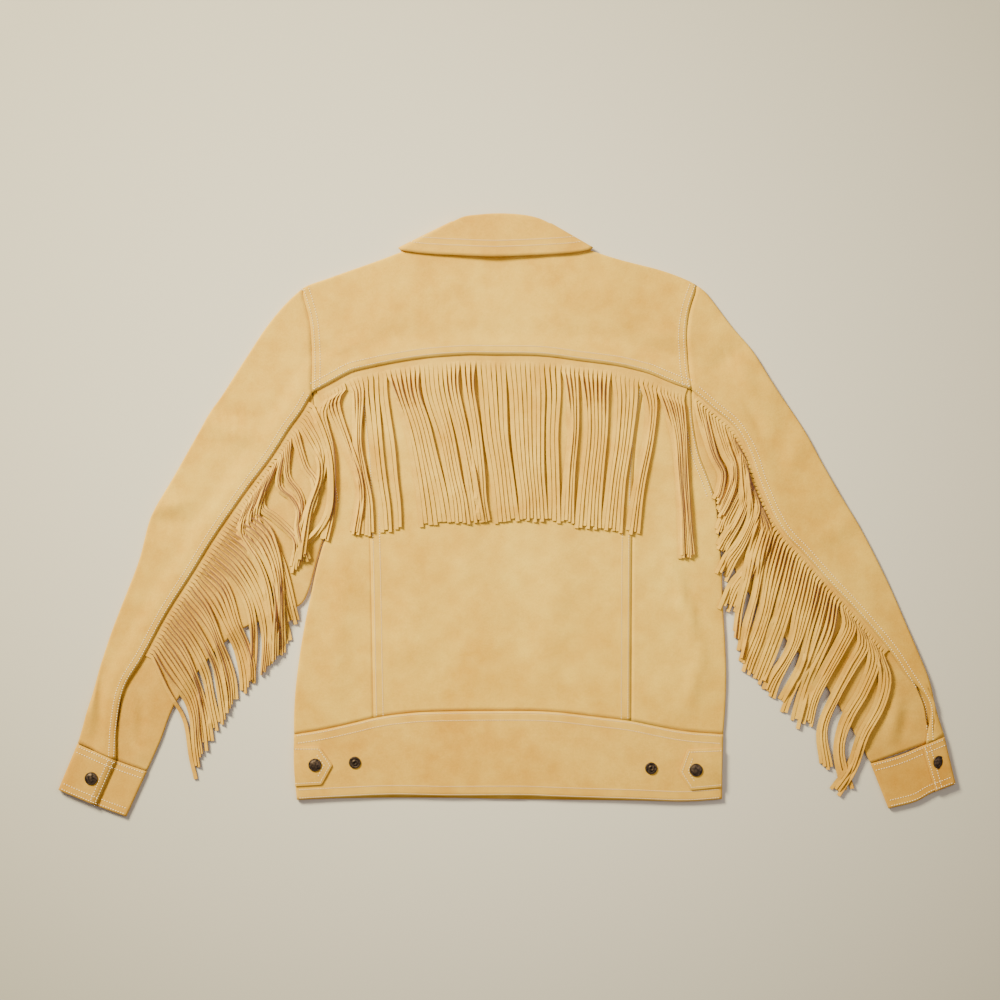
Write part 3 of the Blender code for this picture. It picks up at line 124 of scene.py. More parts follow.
add_camera()
for plan in LAMPS:
    add_lamp(plan)
add_room_light()
print("camera height:", CAMERA_HEIGHT, "lens:", LENS, "lamps:", len(LAMPS))

# %% [markdown]
# Suede is the flesh side of the hide, brushed until its fibres stand. It has no gloss, its edges glow a
# little where fibres catch the light, and the nap, brushed this way and that, makes soft patches of lighter
# and darker tan. Here three sizes of noise make it: wide patches, finger-wide marks and fine grain. The
# glow is the shader's own sheen, and the fine grain is a bump, too small to be worth modelling.

# %% Helpers for finishes
def new_finish(name):
    """A material of this name, with its nodes and its shader."""
    finish = bpy.data.materials.new(name)
    finish.use_nodes = True
    return finish, finish.node_tree, finish.node_tree.nodes["Principled BSDF"]


def link_noise(tree, place, scale, detail, roughness):
    """A noise texture that reads where on the jacket it is."""
    cloud = tree.nodes.new("ShaderNodeTexNoise")
    cloud.inputs["Scale"].default_value = scale
    cloud.inputs["Detail"].default_value = detail
    cloud.inputs["Roughness"].default_value = roughness
    tree.links.new(place.outputs["Object"], cloud.inputs["Vector"])
    return cloud


def add_ramp(tree, source, low, high, first, last):
    """Spreads a grey value over two colours between two stops."""
    ramp = tree.nodes.new("ShaderNodeValToRGB")
    ramp.color_ramp.elements[0].position = low
    ramp.color_ramp.elements[1].position = high
    ramp.color_ramp.elements[0].color = (*first, 1.0)
    ramp.color_ramp.elements[1].color = (*last, 1.0)
    tree.links.new(source, ramp.inputs["Fac"])
    return ramp


def mix_colours(tree, blend, share, first, second):
    """Mixes two colour outputs by a fixed share."""
    mix = tree.nodes.new("ShaderNodeMix")
    mix.data_type = "RGBA"
    mix.blend_type = blend
    mix.inputs["Factor"].default_value = share
    tree.links.new(first, mix.inputs["A"])
    tree.links.new(second, mix.inputs["B"])
    return mix.outputs["Result"]


def distance_from_middle(tree, place):
    """How far a point is from the middle of the back, in metres."""
    length = tree.nodes.new("ShaderNodeVectorMath")
    length.operation = "LENGTH"
    tree.links.new(place.outputs["Object"], length.inputs[0])
    return length.outputs["Value"]


# %% Suede
SUEDE_TONES = {
    "suede": {"light": (0.94, 0.610, 0.085), "dark": (0.72, 0.370, 0.026), "patch": 7.0},
    "suede_under": {"light": (0.86, 0.540, 0.080), "dark": (0.66, 0.330, 0.025), "patch": 8.0},
    "suede_band": {"light": (0.89, 0.555, 0.078), "dark": (0.68, 0.335, 0.024), "patch": 9.0},
    "suede_fringe": {"light": (0.90, 0.560, 0.080), "dark": (0.68, 0.340, 0.028), "patch": 16.0},
    # The strands' sides: dark brown painted shade, for the dark lines between crowded strands.
    "suede_rim_shade": {"light": (0.30, 0.140, 0.070), "dark": (0.20, 0.085, 0.045), "patch": 30.0},
}
# Painted shade: the suede darkens away from the middle of the back, where the studio light falls off.
LIGHT_FALLOFF_SHADE = {"from": 0.22, "to": 0.62, "tint": (0.70, 0.62, 0.54)}
MARKS_SCALE = 48.0
MARKS_SHARE = 0.42
GRAIN_SCALE = 620.0
GRAIN_SHARE = 0.8
GRAIN_TINT = (0.80, 0.80, 0.78)
MARKS_DEEPER = 2.2
WHITE = (1.0, 1.0, 1.0)


def suede_finish(name, tones):
    """Brushed suede: patches of nap, finger marks, fine grain and painted shade away from the back's middle.
    """
    finish, tree, shader = new_finish(name)
    place = tree.nodes.new("ShaderNodeTexCoord")
    patches = link_noise(tree, place, tones["patch"], detail=3.0, roughness=0.5)
    marks = link_noise(tree, place, MARKS_SCALE, detail=4.0, roughness=0.6)
    grain = link_noise(tree, place, GRAIN_SCALE, detail=3.0, roughness=0.7)
    wide = add_ramp(tree, patches.outputs["Fac"], 0.30, 0.70, tones["dark"], tones["light"])
    close = add_ramp(tree, marks.outputs["Fac"], 0.34, 0.68, tones["dark"], tones["light"])
    fine = add_ramp(tree, grain.outputs["Fac"], 0.30, 0.72, GRAIN_TINT, WHITE)
    nap = mix_colours(tree, "MIX", MARKS_SHARE, wide.outputs["Color"], close.outputs["Color"])
    grained = mix_colours(tree, "MULTIPLY", GRAIN_SHARE, nap, fine.outputs["Color"])
    # Painted shade, darker away from the middle of the back where the studio light falls off.
    away = distance_from_middle(tree, place)
    falloff_shade = add_ramp(tree, away, LIGHT_FALLOFF_SHADE["from"], LIGHT_FALLOFF_SHADE["to"], WHITE, LIGHT_FALLOFF_SHADE["tint"])
    colour = mix_colours(tree, "MULTIPLY", 1.0, grained, falloff_shade.outputs["Color"])
    tree.links.new(colour, shader.inputs["Base Color"])
    height = tree.nodes.new("ShaderNodeMath")
    height.operation = "MULTIPLY_ADD"
    height.inputs[1].default_value = MARKS_DEEPER
    tree.links.new(marks.outputs["Fac"], height.inputs[0])
    tree.links.new(grain.outputs["Fac"], height.inputs[2])
    bump = tree.nodes.new("ShaderNodeBump")
    bump.inputs["Strength"].default_value = 0.35
    bump.inputs["Distance"].default_value = 0.0006
    tree.links.new(height.outputs["Value"], bump.inputs["Height"])
    tree.links.new(bump.outputs["Normal"], shader.inputs["Normal"])
    shader.inputs["Roughness"].default_value = 0.95
    shader.inputs["Specular IOR Level"].default_value = 0.12
    shader.inputs["Sheen Weight"].default_value = 0.16
    shader.inputs["Sheen Roughness"].default_value = 0.6
    shader.inputs["Sheen Tint"].default_value = (1.0, 0.80, 0.42, 1.0)
    return finish


# %% Thread, needle-hole shade and metal
TWIST_SCALE = 900.0
THREAD_TONES = ((0.90, 0.70, 0.34), (0.98, 0.87, 0.54))
# Painted shade: the brown of the dark inside of a needle hole.
HOLE_SHADE_TONE = (0.30, 0.17, 0.05, 1.0)
RUB_SCALE = 420.0
METAL_TONES = ((0.022, 0.016, 0.012), (0.150, 0.095, 0.055))
METAL_ROUGHNESS = ((0.30, 0.30, 0.30), (0.55, 0.55, 0.55))


def thread_finish():
    """Pale cream sewing thread, in places a little lighter."""
    finish, tree, shader = new_finish("cream_thread")
    place = tree.nodes.new("ShaderNodeTexCoord")
    twist = link_noise(tree, place, TWIST_SCALE, detail=2.0, roughness=0.6)
    shade = add_ramp(tree, twist.outputs["Fac"], 0.3, 0.7, *THREAD_TONES)
    tree.links.new(shade.outputs["Color"], shader.inputs["Base Color"])
    shader.inputs["Roughness"].default_value = 0.6
    shader.inputs["Sheen Weight"].default_value = 0.2
    return finish


def hole_shade_finish():
    """Painted shade: the brown dark inside a needle hole, as a flat colour."""
    finish, _, shader = new_finish("needle_hole_shade")
    shader.inputs["Base Color"].default_value = HOLE_SHADE_TONE
    shader.inputs["Roughness"].default_value = 1.0
    return finish


def metal_finish():
    """Dark aged metal, brown where fingers have rubbed the blackening off."""
    finish, tree, shader = new_finish("aged_metal")
    place = tree.nodes.new("ShaderNodeTexCoord")
    rub = link_noise(tree, place, RUB_SCALE, detail=4.0, roughness=0.6)
    shade = add_ramp(tree, rub.outputs["Fac"], 0.38, 0.72, *METAL_TONES)
    rough = add_ramp(tree, rub.outputs["Fac"], 0.3, 0.7, *METAL_ROUGHNESS)
    tree.links.new(shade.outputs["Color"], shader.inputs["Base Color"])
    tree.links.new(rough.outputs["Color"], shader.inputs["Roughness"])
    shader.inputs["Metallic"].default_value = 0.85
    return finish


finishes = {name: suede_finish(name + "_nap", tones) for name, tones in SUEDE_TONES.items()}
finishes["thread"] = thread_finish()
finishes["needle_hole_shade"] = hole_shade_finish()
finishes["dark_metal"] = metal_finish()
print("finishes:", ", ".join(finishes))

# %% [markdown]
# The board under the jacket is one pale square that reaches past every view. It could be plain, but a real
# one looks darker where the lamp's light falls off, so its paint darkens away from the jacket. It isn't part
# of the jacket.

# %% Board
BOARD_REACH = 4.0
BOARD_MIDDLE = (0.73, 0.675, 0.545)
BOARD_RIM = (0.42, 0.385, 0.295)
BOARD_FADES = (0.15, 0.80)


def add_board():
    """The pale board, painted darker toward its rim."""
    board = bmesh.new()
    bmesh.ops.create_grid(board, x_segments=1, y_segments=1, size=BOARD_REACH)
    surface = shaped("pale_board", board)
    paint, tree, shader = new_finish("pale_board_paint")
    place = tree.nodes.new("ShaderNodeTexCoord")
    away = distance_from_middle(tree, place)
    shade = add_ramp(tree, away, *BOARD_FADES, BOARD_MIDDLE, BOARD_RIM)
    tree.links.new(shade.outputs["Color"], shader.inputs["Base Color"])
    shader.inputs["Roughness"].default_value = 0.85
    surface.data.materials.append(paint)


add_board()
print("board:", 2 * BOARD_REACH, "m wide")

# %% [markdown]
# The jacket's lines
#
# A cutter works from lines: where each fold runs, where each seam runs and where each edge ends. All are
# given here in millimetres, a few knots to a line, because a soft curve through few knots looks like
# cloth where many measured points would look shaky. The layers' heights say how the pieces lie on each
# other, from the fronts on the board up to the cuffs' ends and the laps over the fringed strips.

# %% Walls and layers
SUEDE = 1.2
BAND_WALL = 1.6
CUFF_WALL = 1.8
COLLAR_WALL = 1.4
TAB_WALL = 1.8

# Middle height of each layer above the surface
LOWER = 0.6
UPPER = 4.0
FRONT_LAP = 2.2
UNDER_LAP = 3.6
STRIP = 5.1
OVER_LAP = 6.6
BAND_LOWER = 0.8
BAND_FRONT_LAP = 2.7
BAND_UPPER = 4.6
CUFF_LOWER = 0.9
CUFF_UPPER = 4.3
CUFF_OVER = 6.5

# %% Seams and how finely each line is divided
SEAM_GAP = 0.3
LAP_REACH = 32.0
LAP_FLAT = 11.0
LAP_NARROW = 0.45
LAP_UNDER_WIDTH = 7.0
RETURN_WIDTH = 12.0
RETURN_START = 1.5
RETURN_GROWS_OVER = 100.0
CORNER_GAP = 0.35
CUFF_GAP = 0.15
SLEEVE_LIFT = 0.5
TURN_STEPS = 6
SPAN_STEPS = 8
ARM_UPPER_CELLS = 14
ARM_LOWER_CELLS = 15
SHOULDER_CELLS = 14
SIDE_CELLS = 27
SLEEVE_CELLS = 52
CENTRE_CELLS = 32
SIDE_PANEL_CELLS = 10
HEM_END_CELLS = 10

# %% Folds, seams and edges
# The fold that each side of the jacket makes from the collar over the shoulder to the cuff's end
TOP_FOLD = {
    "L": {
        "shoulder": [(-113.9, 305.5), (-120.7, 303), (-144.9, 293.8), (-178.2, 282.3), (-210.4, 270.8),
                     (-235.7, 260.5)],
        "sleeve": [(-235.7, 260.5), (-269.1, 226.5), (-300.1, 180.8), (-329.5, 134.8), (-340, 121),
                   (-357, 90.8), (-382.9, 44.8), (-403.5, 10), (-411, -5), (-422, -49), (-435.8, -85.7),
                   (-454.2, -133), (-472.6, -189.2), (-481.8, -223.7), (-493.3, -261.6)],
        "cuff": [(-493.3, -261.6), (-505, -289), (-515.2, -314.5)],
    },
    "R": {
        "shoulder": [(90.9, 306), (99.5, 303.3), (129.9, 293.8), (175.9, 282.3), (207, 270.8),
                     (218.5, 264.5)],
        "sleeve": [(218.5, 264.5), (227.4, 258.3), (259.9, 215.3), (281.8, 190.3), (309.3, 146.3),
                   (340.4, 100.3), (365.7, 54.3), (386.4, 18.8), (407.1, -15.7), (425.5, -51.2),
                   (441.6, -84.7), (456.5, -119.2), (471.5, -154.7), (485.3, -189.2), (493.3, -223.7),
                   (502.5, -253.6)],
        "cuff": [(502.5, -253.6), (508.5, -281), (515.2, -307.6)],
    },
}

# The armhole seam, from the shoulder to the yoke's corner, and on to the armpit
ARMHOLE = {
    "L": {
        "upper": [(-235.7, 260.5), (-231.1, 245.4), (-226.5, 228.3), (-224.2, 213.3), (-223.1, 196.1),
                  (-222.4, 175.4), (-222.8, 155), (-223.1, 140.9)],
        "lower": [(-223.1, 140.9), (-217.3, 98.3), (-208, 52.3), (-201.2, 8.6)],
    },
    "R": {
        "upper": [(218.5, 264.5), (209.3, 237.5), (205.2, 208.7), (206.2, 186.9), (207.6, 165),
                  (211.6, 144.3)],
        "lower": [(211.6, 144.3), (213.4, 109.8), (220.3, 72), (230.5, 45), (239.3, 20)],
    },
}

# The fold down each side of the body, from the armpit to the waistband and on to the hem
SIDE_FOLD = {
    "L": {
        "panel": [(-201.2, 8.6), (-207.2, -20.1), (-213.4, -39.7), (-220.1, -65), (-225.6, -92.6),
                  (-230.2, -113), (-236.9, -151.2), (-242.6, -194.9), (-244.9, -230), (-244.9, -251.3)],
        "band": [(-244.9, -251.3), (-244.9, -288), (-241.5, -326.5)],
    },
    "R": {
        "panel": [(239.3, 20), (242, 4), (244.3, -24.7), (246.9, -62.7), (248.7, -111),
                  (250.7, -143.2), (252, -177.7), (251.3, -214), (248.6, -251.3)],
        "band": [(248.6, -251.3), (247.6, -288), (247.2, -325.6)],
    },
}

# The yoke's lower seam and the two back seams, then the waistband's edges, all from left to right
YOKE_SEAM = {
    "side_L": [(-223.1, 140.9), (-205, 150.5), (-180.5, 163.9), (-172.5, 166.5)],
    "centre": [(-172.5, 166.5), (-136.8, 174.2), (-93.1, 181.1), (-48.3, 184.4), (-14.9, 184.2),
               (39.1, 183.4), (83.9, 177.7), (127.6, 171.9), (158.7, 164.5)],
    "side_R": [(158.7, 164.5), (164.4, 162.7), (189, 152.3), (211.6, 144.3)],
}
BACK_SEAM = {
    "L": [(-172.5, 166.5), (-161, 75.3), (-156.4, -22.4), (-152.3, -232.4)],
    "R": [(158.7, 164.5), (146, 75.3), (142.6, -28.2), (141.4, -235.7)],
}
BAND_TOP = {
    "side_L": [(-244.9, -251.3), (-217.3, -247.2), (-187.4, -240.9), (-152.3, -232.4)],
    "centre": [(-152.3, -232.4), (-128.8, -228.7), (-85.1, -225.3), (14.9, -224.4), (58.6, -226),
               (97.7, -230.6), (141.4, -235.7)],
    "side_R": [(141.4, -235.7), (200.1, -247.2), (248.6, -251.3)],
}
BAND_HEM = [(-241.5, -326.5), (-190.9, -323.7), (-131.1, -321.4), (-67.8, -322.4), (14.9, -322.1),
            (62.1, -323.7), (150.6, -326.5), (203.5, -328.3), (247.2, -325.6)]

# The front waistband's edges from left to right; the front hems hang a little below the back one
FRONT_BAND_TOP = [(-234, -251), (-170, -239), (-90, -230), (0, -227.5), (90, -230), (170, -239),
                  (238, -251)]
FRONT_HEM = [(-241.5, -326.5), (-190, -325), (-131, -324.3), (-60, -324.6), (0, -325.8), (62, -326.6),
             (150, -327.6), (203.5, -328.3), (247.2, -325.6)]

# %% The front edges, sleeves and cuffs
# Where the front edges run: the left front rises and crosses over the right one's edge inside
FRONT_EDGE_X = {"L": -32.0, "R": -20.7}
LAP_RISE_X = -22.5
LAP_END_X = 20.0
FRONT_NECK_Y = 243.0
FRONT_NECK_ROWS = tuple(range(239, 195, -4))

# The fringed seam of each sleeve, from the yoke's corner to the cuff, and the fold on its inner side
SLEEVE_SEAM = {
    "L": [(-223.1, 140.9), (-236, 118.5), (-250.7, 98.3), (-270.2, 67.3), (-294.4, 35.1),
          (-313.9, 7.5), (-338.1, -28.2), (-361.1, -66.1), (-391, -113.3), (-417.4, -162.7),
          (-438.1, -198.4), (-446.2, -240.9), (-448.5, -281.2)],
    "R": [(211.6, 144.3), (235.4, 123.5), (256.4, 106.4), (267.9, 91.4), (279.4, 69.6),
          (287.2, 44.3), (294.4, 25.9), (304.8, 1.7), (319.7, -22.4), (340.4, -44), (370.3, -77.6),
          (394.4, -102.9), (414, -124.8), (440.4, -157), (458, -184), (472, -205.8),
          (479, -221), (479.5, -241), (480.7, -262.6)],
}
INNER_FOLD = {
    "L": [(-201.2, 8.6), (-208.4, -20.1), (-214.6, -39.7), (-221.5, -65), (-229, -90),
          (-242, -106), (-301.3, -129), (-328, -150), (-353, -177.7), (-381.8, -217.9),
          (-397.5, -258.2), (-413.4, -293.8)],
    "R": [(239.3, 20), (247.5, 0), (251.5, -24.7), (257, -52), (274.5, -85), (302.4, -122.5),
          (336.9, -160.4), (366.8, -197.2), (380.6, -217.9), (401.3, -254.7), (417.4, -284.6)],
}
CUFF_TOP = {
    "L": [(-493.3, -261.6), (-448.5, -281.2), (-413.4, -293.8)],
    "R": [(502.5, -253.6), (480.7, -262.6), (450.2, -275.4), (417.4, -284.6)],
}
CUFF_END = {
    "L": [(-515.2, -314.5), (-469.9, -333.5), (-437, -345.6)],
    "R": [(515.2, -307.6), (487.6, -318.4), (469.2, -328.5), (438.1, -336.4)],
}

# Where each cuff's outer end lies over the inner one: share of the way from the outer fold
CUFF_OVERLAP = {
    "L": {"inner_end": 0.24, "outer_end": 0.57},
    "R": {"inner_end": 0.06, "outer_end": 0.31},
}
CUFF_CELLS = 12

# %% Collar, neck and tabs
# Sections round the collar: where each meets the neck seam, where it rolls and where its edge lies
COLLAR_BACK = [
    ((-113.9, 305.5), (-63.3, 335.6), (-121.5, 304.2)),
    ((-90, 308), (-50, 341.4), (-98, 300.6)),
    ((-50, 309.6), (-30, 343.6), (-55, 298.2)),
    ((-11.5, 309.9), (-8.1, 344.5), (-11.5, 296.7)),
    ((38, 309.4), (20, 342.8), (42, 298.8)),
    ((70, 308), (38, 339), (78, 301.4)),
    ((90.9, 306), (50.5, 333.4), (95.5, 304.6)),
]
COLLAR_WING = {
    "L": [
        COLLAR_BACK[0],
        ((-90.9, 273.1), (-65.6, 305.3), (-116, 265.1)),
        ((-62, 255), (-52, 276.6), (-95, 240)),
        ((-32, 246.5), (-32, 258), (-72, 229.5)),
    ],
    "R": [
        COLLAR_BACK[-1],
        ((72.5, 273.1), (47.2, 305.3), (93, 265.1)),
        ((41.4, 252.4), (31.6, 276.6), (73, 239)),
        ((4.6, 245.5), (4.6, 257), (46, 229.5)),
    ],
}
COLLAR_MIDDLE = 5.1
STAND_REACH = 1.4
FALL_REACH = 4.3
COLLAR_BACK_CELLS = 30
COLLAR_WING_CELLS = 16
COLLAR_TURN_STEPS = 6
FALL_CELLS = 6
FALL_EDGE_LIFT = 1.8
ROLL_BULGE = 0.35

# The fronts and the yoke lie higher round the neck, where the collar's wings are under them
NECK_LIFT = {"front": 2.4, "back": 2.0}
NECK_MIDDLE_X = -11.5
NECK_HALF_WIDTH = (125.0, 178.0)
NECK_LOWEST_Y = (197.0, 221.0)

# Waist tabs: outline from the side seam to the pointed end and back
TAB_OUTLINE = {
    "L": [(-243.6, -265.1), (-215, -265.1), (-200.1, -286.3), (-212.7, -308.8), (-243.2, -310.6)],
    "R": [(246.6, -266.7), (207, -268.5), (197.8, -295), (210.4, -315), (246.2, -311.5)],
}
TAB_BOTTOM = 5.7

# %% [markdown]
# Curves through knots, and distances along them
#
# These helpers turn the knots into lines that can be divided evenly, moved sideways and joined. Blender's
# own curve objects could do the same, but two pieces that share a seam need the very same places on it,
# so the lines are kept as plain lists that each piece reads.

# %% Lines
def smooth(knots):
    """Close points along a soft curve that passes through every knot."""
    points = [Vector(knot) for knot in knots]
    reached = [points[0] * 2 - points[1], *points, points[-1] * 2 - points[-2]]
    curve = []
    for before, here, after, beyond in zip(reached, reached[1:], reached[2:], reached[3:]):
        for step in range(SPAN_STEPS):
            share = step / SPAN_STEPS
            curve.append(0.5 * (2 * here + (after - before) * share
                                + (2 * before - 5 * here + 4 * after - beyond) * share ** 2
                                + (3 * here - before - 3 * after + beyond) * share ** 3))
    return [*curve, points[-1]]


def lengths(points):
    """How far along the line each point lies."""
    reached = [0.0]
    for here, after in zip(points, points[1:]):
        reached.append(reached[-1] + (after - here).length)
    return reached


def along(points, distance):
    """The place at a distance along a line of points."""
    reached = lengths(points)
    for index in range(len(points) - 1):
        if distance <= reached[index + 1] or index == len(points) - 2:
            step = reached[index + 1] - reached[index]
            return points[index].lerp(points[index + 1], (distance - reached[index]) / step)
    return points[-1]


def spaced(points, cells, start=0.0, stop=0.0):
    """Evenly spaced places on a line, from start after its first point to stop before its last."""
    whole = lengths(points)[-1] - start - stop
    return [along(points, start + whole * index / cells) for index in range(cells + 1)]


def left_of(points):
    """The unit direction to the left of travel at each point of a line."""
    sides = []
    for index in range(len(points)):
        way = points[min(index + 1, len(points) - 1)] - points[max(index - 1, 0)]
        sides.append(Vector((-way.y, way.x)).normalized())
    return sides


def moved(points, directions, distances):
    """Each point moved its own distance along its own direction."""
    return [point + way * distance for point, way, distance in zip(points, directions, distances)]


def soft_step(share):
    """0 below 0, 1 above 1 and a soft rise between."""
    held = min(max(share, 0.0), 1.0)
    return held * held * (3 - 2 * held)


def inward_of(line, side):
    """The direction into a piece that lies to the left (1) or right (-1) of a line."""
    return [way * side for way in left_of(line)]


def shorten(line, index, distance=CORNER_GAP):
    """Moves a line's first (0) or last (-1) point along it, away from its neighbour's corner."""
    other = 1 if index == 0 else -2
    line[index] = line[index] + (line[other] - line[index]).normalized() * distance


def at_x(line, x, lift=0.0):
    """The place where a line that runs across reaches x, or its nearer end, lifted by a gap."""
    ordered = sorted(line, key=lambda point: point.x)
    for here, after in zip(ordered, ordered[1:]):
        if x <= after.x or after is ordered[-1]:
            share = (x - here.x) / (after.x - here.x)
            return Vector((x, here.y + (after.y - here.y) * share + lift))
    return ordered[-1]


def inset(line, side, distance=SEAM_GAP / 2):
    """A seam line moved into its own piece, by half a gap or more."""
    return moved(line, inward_of(line, side), [distance] * len(line))


def join(*lines):
    """Lines end to end as one, without their doubled ends."""
    whole = list(lines[0])
    for line in lines[1:]:
        whole.extend(line[1:])
    return whole


def seam_line(parts):
    """The close points of a seam, given whole or in parts from left to right."""
    if isinstance(parts, dict):
        return join(*(smooth(part) for part in parts.values()))
    return smooth(parts)

# %% [markdown]
# How high each piece lies
#
# Flat cloth still has a shape: it rises where it laps over a seam, lifts round the collar and keeps the
# creases of wear at elbows and armpits. Sculpting or a cloth simulation would both do, but neither keeps
# two pieces a set distance apart at their seam. So height is a rule of place: each piece asks the rules for
# the height at each of its points, and neighbours that ask at the same place get the same answer.

# %% Creases
# Each is a soft ridge (+) or trough (-), highest in its middle: start, end, width and height
CREASES = [
    ((-339, 127), (-296, 108), 8, -2.6),
    ((-345, 112), (-290, 84), 9, 3.6),
    ((-352, 96), (-310, 70), 8, -1.7),
    ((-403, 8), (-368, 14), 7, 3.4),
    ((-409, -4), (-366, -10), 7, -2.4),
    ((-418, -30), (-372, -44), 12, 1.5),
    ((-478, -186), (-476, -244), 8, 4.4),
    ((-466, -188), (-462, -244), 8, -2.6),
    ((-438, -200), (-445, -262), 8, -2.6),
    ((-431, -196), (-428, -236), 6, 3.6),
    ((-423, -200), (-422, -250), 7, -2.4),
    ((-444, -264), (-414, -276), 5, 2.6),
    ((-222, 188), (-148, 176), 10, -2.5),
    ((-222, 172), (-160, 203), 9, 3.0),
    ((-228, 212), (-180, 190), 12, 1.2),
    ((274, 196), (236, 168), 9, -2.7),
    ((276, 130), (288, 84), 9, -2.6),
    ((264, 176), (288, 128), 10, 3.2),
    ((300, 150), (304, 90), 12, 2.0),
    ((340, 92), (318, 40), 11, 1.8),
    ((396, -10), (352, -30), 10, 1.8),
    ((452, -204), (440, -254), 8, 3.6),
    ((464, -214), (454, -258), 7, -2.4),
    ((487, -200), (492, -248), 7, -1.9),
    ((153, 190), (210, 176), 10, -2.5),
    ((166, 210), (206, 204), 11, 1.8),
    ((190, -58), (223, -158), 8, 3.6),
    ((223, -158), (208, -218), 8, 3.0),
    ((203, -62), (234, -156), 7, -1.8),
    ((-60, 60), (-40, -60), 18, 1.7),
    ((60, -40), (38, -190), 20, 1.7),
    ((-120, -60), (-100, -190), 22, 1.4),
    ((-186, -40), (-196, -200), 14, 1.6),
    ((-60, 268), (-140, 226), 20, 1.2),
    ((62, 268), (140, 232), 20, 1.2),
]
SWELL = {"height": 1.1, "size": 62.0}
RIPPLE = {"height": 0.5, "size": 24.0}
DEEPEST = -2.2
RIM_HOLDS = 14.0
LAYER_TOP = (1.4, 3.0)
CREASE_ENDS = 0.45
PUCKER = {"height": 0.32, "size": 7.5, "reach": 16.0}
PUCKER_SEED = 40.0
SEAM_RISE = 0.5
SEAM_RISE_REACH = 15.0


def crease_height(point):
    """The height that creases and the suede's own unevenness give the upper layer at a place."""
    height = 0.0
    for first, last, width, most in CREASES:
        start = Vector(first)
        way = Vector(last) - start
        share = (point - start).dot(way) / way.length_squared
        held = min(max(share, 0.0), 1.0)
        away = (point - start - way * held).length / width
        taper = CREASE_ENDS + (1 - CREASE_ENDS) * math.sin(math.pi * held)
        height += most * taper * math.exp(-away * away)
    place = Vector((point.x, point.y, 0.0))
    height += SWELL["height"] * noise.noise(place / SWELL["size"])
    height += RIPPLE["height"] * noise.noise(place / RIPPLE["size"])
    return max(height, DEEPEST)


def nearest_on(point, line):
    """How far a place is from the nearest point of a line."""
    return min((dot - point).length for dot in line)


def nearness(point, line):
    """1 within the flat of a lap along a seam, falling softly to 0 at its reach."""
    return soft_step((LAP_REACH - nearest_on(point, line)) / (LAP_REACH - LAP_FLAT - 1))


def pucker(point, away):
    """The small uneven gathers that a row of stitches pulls in beside a seam."""
    place = Vector((point.x, point.y, PUCKER_SEED)) / PUCKER["size"]
    return PUCKER["height"] * noise.noise(place) * soft_step(1 - away / PUCKER["reach"])


def around_neck(point):
    """1 over the collar's wings, falling softly to 0 round them."""
    inner, outer = NECK_HALF_WIDTH
    across = soft_step((outer - abs(point.x - NECK_MIDDLE_X)) / (outer - inner))
    lowest, full = NECK_LOWEST_Y
    return across * soft_step((point.y - lowest) / (full - lowest))


def lower_height(point):
    """The layer on the board, flat but for the part round the collar's wings."""
    return LOWER + NECK_LIFT["front"] * around_neck(point)


def upper_height(seam, lap, stitched=(), risen=()):
    """A height rule for an upper piece that meets a fringed seam at the given lap height.

    stitched lines get puckers beside them. A piece whose edge laps over its neighbour rises there.
    """
    def height(point):
        near = nearness(point, seam)
        raised = max(NECK_LIFT["back"] * around_neck(point), (lap - UPPER) * near)
        if lap < UPPER:
            raised = (lap - UPPER) * near
        relief = crease_height(point)
        for line in stitched:
            relief += pucker(point, nearest_on(point, line))
        for line in risen:
            relief += SEAM_RISE * soft_step(1 - nearest_on(point, line) / SEAM_RISE_REACH)
        return UPPER + raised + relief * (1 - near)
    return height


print("creases placed by hand:", len(CREASES))

# %% [markdown]
# A piece of cloth as a grid
#
# Every piece starts as a flat grid between four of the shared lines. Its edges can be extruded on, round a
# fold or under a seam, and at the end it is rounded once and given its wall. The grid's cells are wider
# than the sharper creases, so an upper piece gets those back after it has been rounded.

